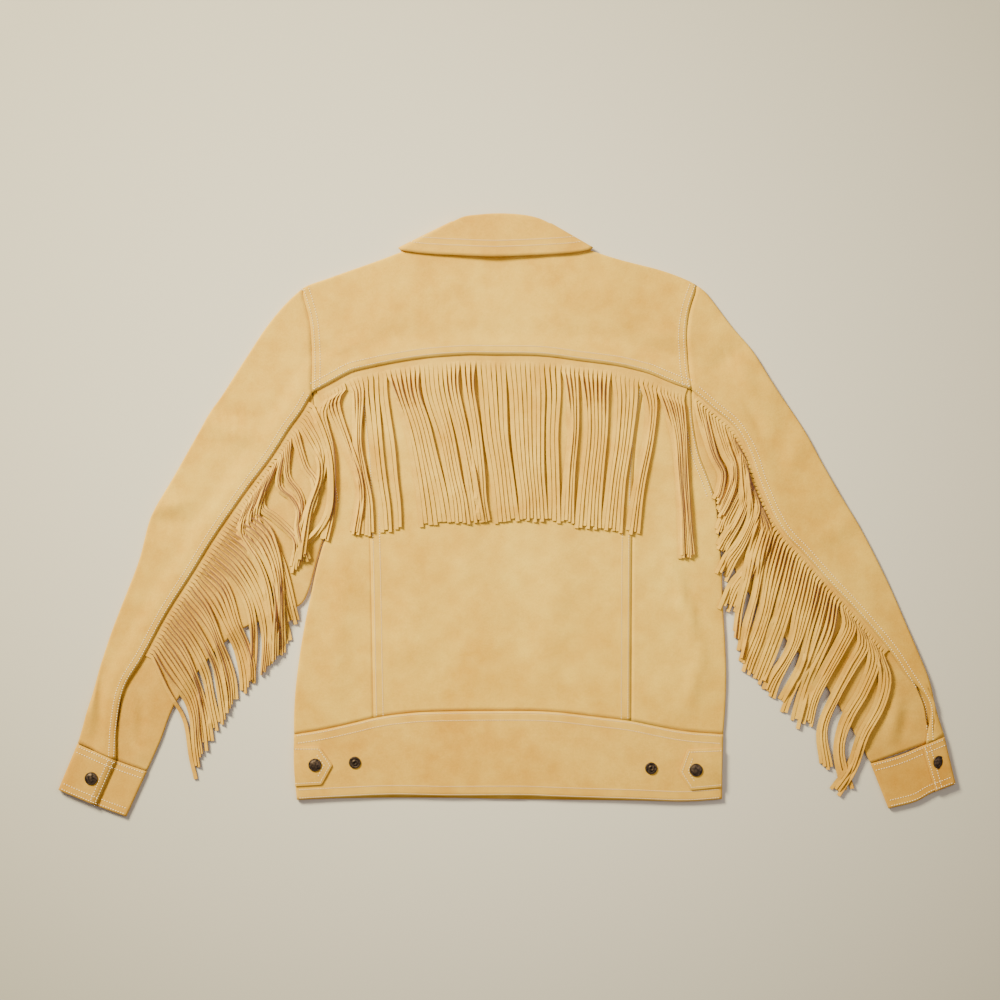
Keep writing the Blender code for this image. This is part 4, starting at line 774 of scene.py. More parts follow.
# %% Sheets of cloth
class Sheet:
    """A piece of cloth as a grid of points, with edges that can be carried on."""

    def __init__(self, rows):
        """Takes rows of 3-D points; every row has as many points as the first."""
        self.mesh = bmesh.new()
        across = len(rows[0]) - 1
        down = len(rows) - 1
        bmesh.ops.create_grid(self.mesh, x_segments=across, y_segments=down, size=0.5)
        self.down, self.across = down, across
        self.grid = {}
        for vert in self.mesh.verts:
            column = round((vert.co.x + 0.5) * across)
            row = round((vert.co.y + 0.5) * down)
            self.grid[row, column] = vert
        for (row, column), vert in self.grid.items():
            vert.co = rows[row][column]

    def column(self, index, first=0):
        """The points down one side of the grid."""
        chosen = self.across if index < 0 else index
        return [self.grid[row, chosen] for row in range(first, self.down + 1)]

    def row(self, index, first=0, last=None):
        """The points across one end of the grid."""
        chosen = self.down if index < 0 else index
        return [self.grid[chosen, column] for column in range(first, (last or self.across) + 1)]

    def carry_on(self, edge, points):
        """Extrudes an edge of the cloth once, to the given points, and returns the new edge."""
        links = [self.mesh.edges.get(pair) for pair in zip(edge, edge[1:])]
        made = bmesh.ops.extrude_edge_only(self.mesh, edges=links)
        fresh = {item for item in made["geom"] if isinstance(item, bmesh.types.BMVert)}
        new_edge = []
        for vert in edge:
            partner = next(link.other_vert(vert) for link in vert.link_edges
                           if link.other_vert(vert) in fresh)
            new_edge.append(partner)
        for vert, point in zip(new_edge, points):
            vert.co = point
        return new_edge

    def turn_under(self, edge, directions, floor_height, ramp, steps=TURN_STEPS):
        """Rolls an edge round to the lower layer, each point outward along its direction."""
        start = [vert.co.copy() for vert in edge]
        for step in range(1, steps + 1):
            angle = math.pi * step / steps
            points = []
            for point, way, grown in zip(start, directions, ramp):
                low = floor_height(point.xy)
                reach = (point.z - low) / 2
                out = way * (reach * math.sin(angle) * grown)
                points.append(Vector((point.x + out.x, point.y + out.y,
                                      low + reach + reach * math.cos(angle))))
            edge = self.carry_on(edge, points)
        return edge

    def lap_under(self):
        """Carries the top edge on, under the piece above it."""
        edge = self.row(0)
        self.carry_on(edge, [vert.co + Vector((0, LAP_UNDER_WIDTH, 0)) for vert in edge])

    def keep_above(self, line, lift):
        """Moves what would reach below a seam that runs across, such as the top of a cuff, up to it."""
        for vert in self.mesh.verts:
            lowest = at_x(line, vert.co.x, lift).y
            vert.co.y = max(vert.co.y, lowest)

    def finish(self, node, wall, creased=True):
        """Gives the cloth its thickness as a piece that stands for its solid."""
        bmesh.ops.recalc_face_normals(self.mesh, faces=self.mesh.faces)
        relief = self.mesh.verts.layers.float.new("relief")
        rims = [vert.co.copy() for vert in self.mesh.verts if vert.is_boundary]
        for vert in self.mesh.verts:
            vert[relief] = crease_height(vert.co.xy)
            vert.co *= MM
        for face in self.mesh.faces:
            face.smooth = True
        piece = shaped("cloth_" + node, self.mesh)
        rounder = piece.modifiers.new("softer", "SUBSURF")
        rounder.levels = 1
        rounder.render_levels = 1
        rounder.boundary_smooth = "PRESERVE_CORNERS"
        if creased:
            sharpen_creases(piece, rims)
        solid = piece.modifiers.new("wall", "SOLIDIFY")
        solid.thickness = wall * MM
        solid.offset = 0.0
        solid.use_even_offset = False
        solid.use_quality_normals = True
        stand_for(piece, node)
        cloth[node] = piece
        return piece


def stand_for(piece, node):
    """Puts a piece in its solid's place, and gives it the finish that the record names for that."""
    slot = next(part["material_slot"] for part in frame["record"]["subparts"] if part["node"] == node)
    piece.data.materials.append(finishes[slot])
    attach(piece, "root")
    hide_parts(node)


def sharpen_creases(piece, rims):
    """Fixes the rounded form of an upper piece and gives it back what its cells were too wide for."""
    bpy.context.view_layer.update()
    seen = piece.evaluated_get(bpy.context.evaluated_depsgraph_get())
    finer = bpy.data.meshes.new_from_object(seen)
    held = kdtree.KDTree(len(rims))
    for index, rim in enumerate(rims):
        held.insert(rim, index)
    held.balance()
    kept = finer.attributes["relief"].data
    for vert, coarse in zip(finer.vertices, kept):
        place = vert.co / MM
        _, _, away = held.find(place)
        risen = soft_step((place.z - LAYER_TOP[0]) / (LAYER_TOP[1] - LAYER_TOP[0]))
        free = risen * soft_step(away / RIM_HOLDS)
        vert.co.z += free * (crease_height(place.xy) - coarse.value) * MM
    finer.name = piece.data.name
    piece.modifiers.remove(piece.modifiers["softer"])
    piece.data = finer


cloth = {}


def patch(first, last, left, right):
    """Rows of plan points that fill the space between four lines, the rows running down."""
    across = len(first) - 1
    down = len(left) - 1
    first = [left[0], *first[1:-1], right[0]]
    last = [left[-1], *last[1:-1], right[-1]]
    rows = []
    for row in range(down + 1):
        v = row / down
        points = []
        for column in range(across + 1):
            u = column / across
            blend = (first[column] * (1 - v) + last[column] * v + left[row] * (1 - u) + right[row] * u)
            corners = ((first[0] * (1 - u) + first[-1] * u) * (1 - v)
                       + (last[0] * (1 - u) + last[-1] * u) * v)
            points.append(blend - corners)
        rows.append(points)
    return rows


def raised(rows, height):
    """Plan rows as 3-D rows on a height rule."""
    return [[Vector((point.x, point.y, height(point))) for point in row] for row in rows]


def fold_base(points, inward, height, floor_height, wall, sharp_start=False):
    """Where the flat cloth ends before it rolls round a fold, and how much of the roll each point has.

    With sharp_start the first point, an armpit, has no roll: the cloth goes straight down there.
    """
    ramp = [1.0] * len(points)
    if sharp_start:
        ramp[0] = 0.0
    base = []
    for point, way, grown in zip(points, inward, ramp):
        reach = (height(point) - floor_height(point)) / 2
        base.append(point + way * (wall / 2 + SEAM_GAP / 2 + reach * grown))
    return base, ramp

# %% [markdown]
# Two pieces that meet at a seam have to read the same line, divided in the same way. So all such lines are
# worked out once, for the left and the right side, before any piece is made.

# %% Lines that pieces share
def collar_lines(sections, cells):
    """Stations between the collar's sections, each with its neck, roll and edge."""
    lines = {key: spaced(smooth(places), cells)
             for key, places in zip(("neck", "roll", "edge"), zip(*sections))}
    return [{key: line[index] for key, line in lines.items()} for index in range(cells + 1)]


class Jacket:
    """All lines that two or more pieces share, each with as many points as its pieces need."""

    def __init__(self):
        self.side = {}
        for name, hand in HANDS.items():
            shared = {"hand": hand}
            top = smooth(TOP_FOLD[name]["shoulder"][:-1] + TOP_FOLD[name]["sleeve"])
            turn = (len(TOP_FOLD[name]["shoulder"]) - 1) * SPAN_STEPS
            shared["shoulder"] = spaced(top[:turn + 1], SHOULDER_CELLS)
            shared["outer"] = spaced(top[turn:], SLEEVE_CELLS)
            shoulder_in = inward_of(shared["shoulder"], hand)
            outer_in = inward_of(shared["outer"], hand)
            shared_turn = (shoulder_in[-1] + outer_in[0]).normalized()
            shoulder_in[-1] = shared_turn
            outer_in[0] = shared_turn
            shared["shoulder_in"] = shoulder_in
            shared["outer_in"] = outer_in
            arm = smooth(ARMHOLE[name]["upper"])
            shared["arm_upper"] = [*spaced(arm, ARM_UPPER_CELLS, 0, LAP_FLAT), arm[-1]]
            for key, knots, cells in (("arm_lower", ARMHOLE[name]["lower"], ARM_LOWER_CELLS),
                                      ("side", SIDE_FOLD[name]["panel"], SIDE_CELLS),
                                      ("seam", SLEEVE_SEAM[name], SLEEVE_CELLS),
                                      ("inner", INNER_FOLD[name], SLEEVE_CELLS),
                                      ("band", SIDE_FOLD[name]["band"], HEM_END_CELLS),
                                      ("back_seam", BACK_SEAM[name], ARM_LOWER_CELLS + SIDE_CELLS)):
                shared[key] = spaced(smooth(knots), cells)
            shared["side_in"] = inward_of(shared["side"], hand)
            shared["inner_in"] = inward_of(shared["inner"], -hand)
            self.side[name] = shared
        self.yoke_seam = seam_line(YOKE_SEAM)
        self.wing = {name: collar_lines(COLLAR_WING[name], COLLAR_WING_CELLS) for name in "LR"}
        self.collar_back = collar_lines(COLLAR_BACK, COLLAR_BACK_CELLS)


jacket = Jacket()
print("shared lines:", ", ".join(sorted(jacket.side["L"])))

# %% [markdown]
# The yoke
#
# The yoke is one piece from shoulder to shoulder. It turns over both shoulder folds and ends a little way
# down the fronts, laps over the fringed strip at its lower edge and over the sleeves at its sides. Seen from
# above that lap is a soft ridge beside the stitching, so its edge rises there and reaches just past the
# seam. It is a grid between four lines, with its edges carried on round the folds.

# %% Yoke
LAP_OVER = 0.9
arm_lines = [jacket.side[name]["arm_upper"] for name in "LR"]
yoke_height = upper_height(jacket.yoke_seam, OVER_LAP, stitched=arm_lines, risen=arm_lines)


def under_points(line):
    """Plan points on the layer that lies on the board."""
    return [Vector((point.x, point.y, lower_height(point))) for point in line]


def shoulder_return(jacket, name, gap):
    """The seam on the front where the yoke ends, moved by a gap toward the yoke or away from it."""
    shared = jacket.side[name]
    base, _ = fold_base(shared["shoulder"], shared["shoulder_in"], yoke_height, lower_height, SUEDE)
    shorten(base, -1)
    line = moved(base, shared["shoulder_in"], [RETURN_WIDTH - gap] * len(base))
    arm = inset(shared["arm_upper"], shared["hand"], CORNER_GAP)
    line[-1] = base[-1] + (arm[1] - base[-1]).normalized() * (RETURN_WIDTH - gap)
    return line


def return_line(line, inward, gap):
    """The seam below a fold, which starts at the armpit with hardly any width."""
    widths = [min(RETURN_WIDTH, RETURN_START + (RETURN_WIDTH - RETURN_START) * reached / RETURN_GROWS_OVER)
              for reached in lengths(line)]
    return moved(line, inward, [SUEDE / 2 + size - gap for size in widths])


def yoke(jacket):
    """The back yoke, which turns over both shoulders and ends a little way down the front."""
    height = yoke_height
    bases = {}
    arms = {}
    for name in "LR":
        shared = jacket.side[name]
        bases[name], _ = fold_base(shared["shoulder"], shared["shoulder_in"], height, lower_height,
                                   SUEDE)
        shorten(bases[name], -1)
        arms[name] = inset(shared["arm_upper"], shared["hand"], -LAP_OVER)
        arms[name][0] = bases[name][-1]
    neck = inset([station["neck"] for station in jacket.collar_back], -1, SEAM_GAP)
    top = join(bases["L"][::-1], [bases["L"][0], *neck[1:-1], bases["R"][0]], bases["R"])
    seam = spaced(jacket.yoke_seam, len(top) - 1)
    seam[0] = arms["L"][-1]
    seam[-1] = arms["R"][-1]
    lap = inset(seam, 1, LAP_FLAT)
    sheet = Sheet(raised(patch(top, lap, arms["L"][:-1], arms["R"][:-1]), height))
    sheet.carry_on(sheet.row(-1), [Vector((*point, OVER_LAP)) for point in seam])
    for name, edge in (("L", sheet.row(0, 0, SHOULDER_CELLS)[::-1]),
                       ("R", sheet.row(0, SHOULDER_CELLS + COLLAR_BACK_CELLS))):
        shared = jacket.side[name]
        outward = [-way for way in shared["shoulder_in"]]
        edge = sheet.turn_under(edge, outward, lower_height, [1.0] * len(edge))
        sheet.carry_on(edge, under_points(shoulder_return(jacket, name, SEAM_GAP / 2)))
    sheet.finish("yoke_back", SUEDE)


yoke(jacket)
print("yoke made")

# %% [markdown]
# The back
#
# Three panels make the back, and the middle one laps over both side ones, with two rows of stitching beside
# each seam. The side panels turn round the side folds and end in the side seams, which lie underneath.

# %% Back panels
back_lines = [jacket.side[name]["back_seam"] for name in "LR"]


def back_side(jacket, name):
    """A side panel of the back, which turns round the side fold to the side seam below."""
    shared = jacket.side[name]
    hand = shared["hand"]
    seam = smooth(YOKE_SEAM["side_" + name])
    height = upper_height(jacket.yoke_seam, UNDER_LAP, stitched=[shared["back_seam"]])
    side_base, ramp = fold_base(shared["side"], shared["side_in"], height, lower_height, SUEDE, True)
    arm = inset(shared["arm_lower"], hand)
    outer = join(arm, [arm[-1], *side_base[1:]])
    outer[len(arm) - 1] = side_base[0]
    inner = inset(shared["back_seam"], -hand)
    top = spaced(seam, SIDE_PANEL_CELLS)
    bottom = inset(spaced(smooth(BAND_TOP["side_" + name]), SIDE_PANEL_CELLS), 1, SEAM_GAP)
    if name == "R":
        top = top[::-1]
        bottom = bottom[::-1]
    outer[-1] = Vector((outer[-1].x, bottom[0].y))
    inner[-1] = Vector((inner[-1].x, bottom[-1].y))
    sheet = Sheet(raised(patch(top, bottom, outer, inner), height))
    sheet.lap_under()
    edge = sheet.column(0, ARM_LOWER_CELLS)
    edge = sheet.turn_under(edge, [-way for way in shared["side_in"]], lower_height, ramp)
    below = return_line(shared["side"], shared["side_in"], SEAM_GAP / 2)
    below[-1] = at_x(smooth(BAND_TOP["side_" + name]), below[-1].x, SEAM_GAP)
    sheet.carry_on(edge, under_points(below))
    sheet.finish("back_side_" + name, SUEDE)


def back_centre(jacket):
    """The middle panel of the back."""
    height = upper_height(jacket.yoke_seam, UNDER_LAP, stitched=back_lines, risen=back_lines)
    left = inset(jacket.side["L"]["back_seam"], 1, -LAP_OVER)
    right = inset(jacket.side["R"]["back_seam"], -1, -LAP_OVER)
    top = spaced(smooth(YOKE_SEAM["centre"]), CENTRE_CELLS)
    bottom = inset(spaced(smooth(BAND_TOP["centre"]), CENTRE_CELLS), 1, SEAM_GAP)
    left[-1] = Vector((left[-1].x, bottom[0].y))
    right[-1] = Vector((right[-1].x, bottom[-1].y))
    sheet = Sheet(raised(patch(top, bottom, left, right), height))
    sheet.lap_under()
    sheet.finish("back_centre", SUEDE)


back_centre(jacket)
for name in "LR":
    back_side(jacket, name)
print("back panels made")

# %% [markdown]
# The fronts and the waistband
#
# The fronts lie on the board, so nobody sees them from above, but the jacket would be a half without them.
# The left one goes on inside the right one's edge, as it does when the jacket is closed. The waistband is
# doubled suede, thicker and stiffer than the panels, with hardly a crease in it.

# %% Fronts and waistband
BAND_UNEVEN = {"height": 0.3, "size": 46.0, "seed": 9.0}
BAND_EDGE = BAND_WALL / 2 + (BAND_UPPER - BAND_LOWER) / 2


def band_height(point):
    """The back waistband's top, nearly even."""
    place = Vector((point.x, point.y, BAND_UNEVEN["seed"])) / BAND_UNEVEN["size"]
    return BAND_UPPER + BAND_UNEVEN["height"] * noise.noise(place)


def cross_over(sheet, line, rise):
    """Carries the left front's edge up and over the right one's, inside the jacket."""
    edge = sheet.column(-1)
    for x in (LAP_RISE_X, LAP_END_X):
        points = [Vector((x, min(point.y, FRONT_NECK_Y), point.z + rise)) for point in line]
        edge = sheet.carry_on(edge, points)


def front(jacket, name):
    """A front on the underside; the left one goes on inside the right one's edge."""
    shared = jacket.side[name]
    hand = shared["hand"]
    edge_x = FRONT_EDGE_X[name]
    shoulder = shoulder_return(jacket, name, -SEAM_GAP / 2)[::-1]
    neck = inset([station["neck"] for station in jacket.wing[name]], -hand, SEAM_GAP)
    arm = inset(join(shared["arm_upper"], shared["arm_lower"]), hand)
    arm[0] = shoulder[0]
    side = return_line(shared["side"], shared["side_in"], -SEAM_GAP / 2)
    band = smooth(FRONT_BAND_TOP)
    side[-1] = at_x(band, side[-1].x, SEAM_GAP)
    outer = join(arm, side)
    outer[len(arm) - 1] = side[0]
    neck[0] = shoulder[-1]
    corner = Vector((edge_x, FRONT_NECK_Y))
    top = join(shoulder, neck) if name == "L" else [*join(shoulder, neck), corner]
    top[-1] = Vector((edge_x, top[-1].y))
    close = [Vector((edge_x, y)) for y in FRONT_NECK_ROWS]
    inner = [top[-1], *close[:-1],
             *spaced([close[-1], at_x(band, edge_x, SEAM_GAP)], len(outer) - 1 - len(close))]
    bottom = [at_x(band, point.x, 2 * SEAM_GAP) for point in spaced([outer[-1], inner[-1]], len(top) - 1)]
    sheet = Sheet(raised(patch(top, bottom, outer, inner), lower_height))
    if name == "L":
        cross_over(sheet, [vert.co.copy() for vert in sheet.column(-1)], FRONT_LAP - LOWER)
    sheet.finish("front_" + name, SUEDE)


def waistband_back(jacket):
    """The back waistband, which turns round both side folds."""
    top = join(spaced(smooth(BAND_TOP["side_L"]), SIDE_PANEL_CELLS),
               spaced(smooth(BAND_TOP["centre"]), CENTRE_CELLS),
               spaced(smooth(BAND_TOP["side_R"]), SIDE_PANEL_CELLS))
    cells = len(top) - 1
    hem = spaced(smooth(BAND_HEM), cells)
    sides = {name: inset(jacket.side[name]["band"], hand, BAND_EDGE) for name, hand in HANDS.items()}
    sheet = Sheet(raised(patch(top, hem, sides["L"], sides["R"]), band_height))
    for name, hand in HANDS.items():
        edge = sheet.column(0 if name == "L" else -1)
        outward = [-way for way in inward_of(jacket.side[name]["band"], hand)]
        edge = sheet.turn_under(edge, outward, lambda point: BAND_LOWER, [1.0] * len(edge))
        sheet.carry_on(edge, [vert.co + Vector((hand * RETURN_WIDTH, 0, 0)) for vert in edge])
    sheet.finish("waistband_back", BAND_WALL)


def waistband_front(jacket, name):
    """A front's waistband, from the side seam to the front edge."""
    hand = HANDS[name]
    start = inset(jacket.side[name]["band"], hand, BAND_EDGE)
    start = [Vector((point.x + hand * (RETURN_WIDTH + SEAM_GAP), point.y)) for point in start]
    band = smooth(FRONT_BAND_TOP)
    hem = smooth(FRONT_HEM)
    edge_x = FRONT_EDGE_X[name]
    start[0] = at_x(band, start[0].x, -SEAM_GAP)
    start[-1] = at_x(hem, start[-1].x)
    top = [at_x(band, point.x, -SEAM_GAP)
           for point in spaced([start[0], Vector((edge_x, 0))], CENTRE_CELLS)]
    bottom = [at_x(hem, point.x) for point in spaced([start[-1], Vector((edge_x, 0))], CENTRE_CELLS)]
    end = spaced([top[-1], bottom[-1]], HEM_END_CELLS)
    sheet = Sheet(raised(patch(top, bottom, start, end), lambda point: BAND_LOWER))
    if name == "L":
        cross_over(sheet, [vert.co.copy() for vert in sheet.column(-1)], BAND_FRONT_LAP - BAND_LOWER)
    sheet.finish("waistband_front_" + name, BAND_WALL)


waistband_back(jacket)
for name in "LR":
    front(jacket, name)
    waistband_front(jacket, name)
print("fronts and waistband made")

# %% [markdown]
# The sleeves
#
# Each sleeve is cut in two. The outer piece runs from the fringed seam over the outer fold to the underarm
# seam below, and the inner one from under the fringed seam round the inner fold. Close to the cuff their
# seam is left open as a vent, and there the outer piece's edge stands a little away from the inner one.

# %% Sleeves
VENTS = {
    "L": {"from_y": -170.0, "to_y": -284.0, "open": 1.6},
    "R": {"from_y": -178.0, "to_y": -262.0, "open": 7.5},
}
VENT_POINTED = 1.5


def vent_share(name, y):
    """How far the vent stands open at a height on the sleeve, from 0 at its ends to 1."""
    vent = VENTS[name]
    share = (y - vent["from_y"]) / (vent["to_y"] - vent["from_y"])
    if share <= 0 or share >= 1:
        return 0.0
    return math.sin(math.pi * share) ** VENT_POINTED


def sleeve_top(jacket, name):
    """The outer sleeve piece: from the fringed seam over the outer fold to the underarm seam below."""
    shared = jacket.side[name]
    hand = shared["hand"]
    height = upper_height(smooth(SLEEVE_SEAM[name]), OVER_LAP)
    cuff_line = smooth(CUFF_TOP[name])
    base, ramp = fold_base(shared["outer"], shared["outer_in"], height, lower_height, SUEDE)
    shorten(base, 0)
    base[-1] = at_x(cuff_line, base[-1].x, SEAM_GAP)
    arm = inset(shared["arm_upper"], -hand)
    arm[0] = base[0]
    seam = [arm[-1], *shared["seam"][1:-1], at_x(cuff_line, shared["seam"][-1].x, SEAM_GAP)]
    opened = [VENTS[name]["open"] * vent_share(name, point.y) for point in seam]
    seam = moved(seam, inward_of(seam, -hand), opened)
    widths = [min(LAP_FLAT, LAP_NARROW * (near - far).length) for near, far in zip(seam, base)]
    lap = moved(seam, inward_of(seam, -hand), widths)
    lap[0] = arm[-2]
    lap[-1] = at_x(cuff_line, lap[-1].x, SEAM_GAP)
    bottom = spaced([base[-1], lap[-1]], ARM_UPPER_CELLS)
    sheet = Sheet(raised(patch(arm[:-1], bottom, base, lap), height))
    sheet.carry_on(sheet.column(-1), [Vector((*point, OVER_LAP)) for point in seam])
    edge = sheet.column(0)
    edge = sheet.turn_under(edge, [-way for way in shared["outer_in"]], lower_height, ramp)
    inner = return_line(shared["inner"], shared["inner_in"], -SEAM_GAP / 2)
    inner[-1] = at_x(cuff_line, inner[-1].x, SEAM_GAP)
    whole_arm = inset(join(shared["arm_upper"], shared["arm_lower"]), -hand, CORNER_GAP)
    whole_arm[0] = base[0]
    whole_arm[-1] = inner[0]
    cells = len(whole_arm) - 1
    below = patch(whole_arm, spaced([base[-1], inner[-1]], cells), base, inner)
    for column in range(1, cells + 1):
        line = [row[column] for row in below]
        edge = sheet.carry_on(edge, under_points(line))
    sheet.keep_above(cuff_line, SLEEVE_LIFT)
    sheet.finish("sleeve_top_" + name, SUEDE)


def sleeve_under(jacket, name):
    """The inner sleeve piece: from under the fringed seam round the inner fold to the underarm seam."""
    shared = jacket.side[name]
    hand = shared["hand"]
    height = upper_height(smooth(SLEEVE_SEAM[name]), UNDER_LAP)
    cuff_line = smooth(CUFF_TOP[name])
    base, ramp = fold_base(shared["inner"], shared["inner_in"], height, lower_height, SUEDE, True)
    arm = inset(shared["arm_lower"], -hand)
    arm[-1] = base[0]
    base[-1] = at_x(cuff_line, base[-1].x, SEAM_GAP)
    seam = [arm[0], *shared["seam"][1:-1], at_x(cuff_line, shared["seam"][-1].x, SEAM_GAP)]
    bottom = spaced([seam[-1], base[-1]], ARM_LOWER_CELLS)
    sheet = Sheet(raised(patch(arm, bottom, seam, base), height))
    flange = sheet.column(0)
    toward = inward_of(seam, -hand)
    wide = [LAP_UNDER_WIDTH * (1 - vent_share(name, point.y)) for point in seam]
    sheet.carry_on(flange, [vert.co + Vector((way.x, way.y, 0)) * width
                            for vert, way, width in zip(flange, toward, wide)])
    edge = sheet.column(-1)
    edge = sheet.turn_under(edge, [-way for way in shared["inner_in"]], lower_height, ramp)
    below = return_line(shared["inner"], shared["inner_in"], SEAM_GAP / 2)
    below[-1] = at_x(cuff_line, below[-1].x, SEAM_GAP)
    sheet.carry_on(edge, under_points(below))
    sheet.keep_above(cuff_line, SLEEVE_LIFT)
    sheet.finish("sleeve_under_" + name, SUEDE)


for name in "LR":
    sleeve_top(jacket, name)
    sleeve_under(jacket, name)
print("sleeves made")

# %% [markdown]
# Cuffs, collar and tabs
#
# A cuff is a strip that goes round the wrist and closes on itself, so its section is drawn as a list of
# stations along the strip. The collar is a strip too: its stand goes up from the neck, rolls over and falls,
# and at both sides of the neck the whole strip turns under to lie below the fronts.

# %% Cuffs
OVER_MIDDLE = 0.6


def cuff(name):
    """A cuff as one strip: its inner end, round both folds, to its outer end over the inner one."""
    top = [point - Vector((0, CUFF_GAP)) for point in smooth(CUFF_TOP[name])]
    end = smooth(CUFF_END[name])
    widths = lengths(top)[-1]
    reach = (CUFF_UPPER - CUFF_LOWER) / 2
    edge = CUFF_WALL / 2 + reach
    fold = 1 - edge / widths
    overlap = CUFF_OVERLAP[name]
    stations = []
    for index in range(CUFF_CELLS + 1):
        share = overlap["inner_end"] + (fold - overlap["inner_end"]) * index / CUFF_CELLS
        stations.append((share, CUFF_UPPER))
    stations += turn_stations(fold, reach / widths, (CUFF_UPPER, CUFF_LOWER))
    for index in range(1, CUFF_CELLS + 1):
        share = fold + (2 * edge / widths - 1) * index / CUFF_CELLS
        stations.append((share, CUFF_LOWER))
    over_reach = (CUFF_OVER - CUFF_LOWER) / 2
    over_edge = (CUFF_WALL / 2 + over_reach) / widths
    stations[-1] = (over_edge, CUFF_LOWER)
    stations += turn_stations(over_edge, -over_reach / widths, (CUFF_LOWER, CUFF_OVER))
    stations.append((overlap["outer_end"] * OVER_MIDDLE, CUFF_OVER))
    stations.append((overlap["outer_end"], CUFF_OVER))
    rows = []
    for across in range(CUFF_CELLS + 1):
        share_down = across / CUFF_CELLS
        places = [point_at(top, share).lerp(point_at(end, share), share_down) for share, _ in stations]
        rows.append([Vector((*place, height)) for place, (_, height) in zip(places, stations)])
    Sheet(rows).finish("cuff_" + name, CUFF_WALL)


def turn_stations(share, reach, heights):
    """Stations round a fold of the cuff, from one height to the other, bulging by a share."""
    start, stop = heights
    turned = []
    for step in range(1, TURN_STEPS + 1):
        angle = math.pi * step / TURN_STEPS
        middle = (start + stop) / 2
        turned.append((share + reach * math.sin(angle), middle + (start - stop) / 2 * math.cos(angle)))
    return turned


def point_at(line, share):
    """The place at a share of a line's length, also a little before or past its ends."""
    whole = lengths(line)[-1]
    if share < 0:
        return line[0] + (line[0] - line[1]).normalized() * (-share * whole)
    if share > 1:
        return line[-1] + (line[-1] - line[-2]).normalized() * ((share - 1) * whole)
    return along(line, share * whole)


for name in "LR":
    cuff(name)
print("cuffs made")

# %% Collar
NECK_TURN = (0.75, 0.66)
EDGE_LIFT_REACH = 80.0


def collar(jacket):
    """The collar as one strip round the neck: stand, roll and fall, flattened with the jacket."""
    still = Vector((0, 0))
    back = jacket.collar_back
    stations = [(station, -1.0, still) for station in jacket.wing["L"][::-1]]
    stations += collar_turn(back[0], -1)
    stations += [(station, 1.0, still) for station in back]
    stations += collar_turn(back[-1], 1)[::-1]
    stations += [(station, -1.0, still) for station in jacket.wing["R"]]
    rows = [[collar_point(*station, share) for share in collar_shares()] for station in stations]
    Sheet(rows).finish("collar", COLLAR_WALL)


def collar_turn(station, hand):
    """Stations round a side of the neck, from the wing below up to the back."""
    turned = []
    for step in range(1, COLLAR_TURN_STEPS):
        angle = math.pi * step / COLLAR_TURN_STEPS
        outward = Vector((hand * NECK_TURN[0], NECK_TURN[1]))
        turned.append((station, -math.cos(angle), outward * math.sin(angle)))
    return turned


def collar_shares():
    """Stops across the collar: stand from 0 to 1, roll from 1 to 2 and fall from 2 to 3."""
    roll = [1 + step / COLLAR_TURN_STEPS for step in range(COLLAR_TURN_STEPS + 1)]
    fall = [2 + step / FALL_CELLS for step in range(1, FALL_CELLS + 1)]
    return [0.0, *roll, *fall]


def collar_point(station, side, bulge, share):
    """A place on the collar: how far across it is, and how far up or down its layer lies."""
    neck, roll, edge = station["neck"], station["roll"], station["edge"]
    away = (roll - neck).normalized()
    if share <= 1:
        place = neck.lerp(roll, share)
        reach = STAND_REACH
        if share == 0:
            place = neck + away * (SEAM_GAP / 2)
    elif share <= 2:
        angle = math.pi * (share - 1)
        width = (FALL_REACH - STAND_REACH) / 2
        place = roll + away * (width * math.sin(angle))
        reach = STAND_REACH + width * (1 - math.cos(angle))
    else:
        place = roll.lerp(edge, share - 2)
        reach = FALL_REACH
    height = COLLAR_MIDDLE + reach * side
    if side == 1.0 and share > 2:
        middle = max(0.0, 1 - abs(place.x - NECK_MIDDLE_X) / EDGE_LIFT_REACH)
        height += FALL_EDGE_LIFT * middle * (share - 2)
    if share > 2:
        bulge = bulge * (ROLL_BULGE + (1 - ROLL_BULGE) * (share - 2))
    else:
        bulge = bulge * ROLL_BULGE
    place = place + bulge * reach
    return Vector((place.x, place.y, height))


collar(jacket)
print("collar made")

# %% [markdown]
# A waist tab is two plies of suede, sewn round its edge, with its raw end caught in the side seam. It is an
# outline filled with one face, raised to its thickness, with its rim rounded as a folded edge is.

# %% Waist tabs
TAB_RIM = 0.5
TAB_CORNER = 2.0
RIM_ANGLE = 1.2
TAB_SHARP = 50


def tab(name):
    """A pointed waist tab that lies on the waistband."""
    shape = bmesh.new()
    corners = [shape.verts.new((x * MM, y * MM, TAB_BOTTOM * MM)) for x, y in TAB_OUTLINE[name]]
    bmesh.ops.contextual_create(shape, geom=corners)
    bmesh.ops.bevel(shape, geom=corners[1:4], offset=TAB_CORNER * MM, segments=3, profile=0.5,
                    affect="VERTICES", material=-1)
    raised_tab = bmesh.ops.extrude_face_region(shape, geom=shape.faces[:])["geom"]
    top = [item for item in raised_tab if isinstance(item, bmesh.types.BMVert)]
    bmesh.ops.translate(shape, verts=top, vec=(0, 0, TAB_WALL * MM))
    bmesh.ops.recalc_face_normals(shape, faces=shape.faces[:])
    rim = [edge for edge in shape.edges if edge.calc_face_angle(0) > RIM_ANGLE]
    bmesh.ops.bevel(shape, geom=rim, offset=TAB_RIM * MM, segments=3, profile=0.5,
                    affect="EDGES", material=-1)
    for face in shape.faces:
        face.smooth = True
    piece = shaped("cloth_tab_" + name, shape)
    piece.data.set_sharp_from_angle(angle=math.radians(TAB_SHARP))
    stand_for(piece, "tab_" + name)
    cloth["tab_" + name] = piece


for name in "LR":
    tab(name)
print("tabs made; cloth pieces:", len(cloth))

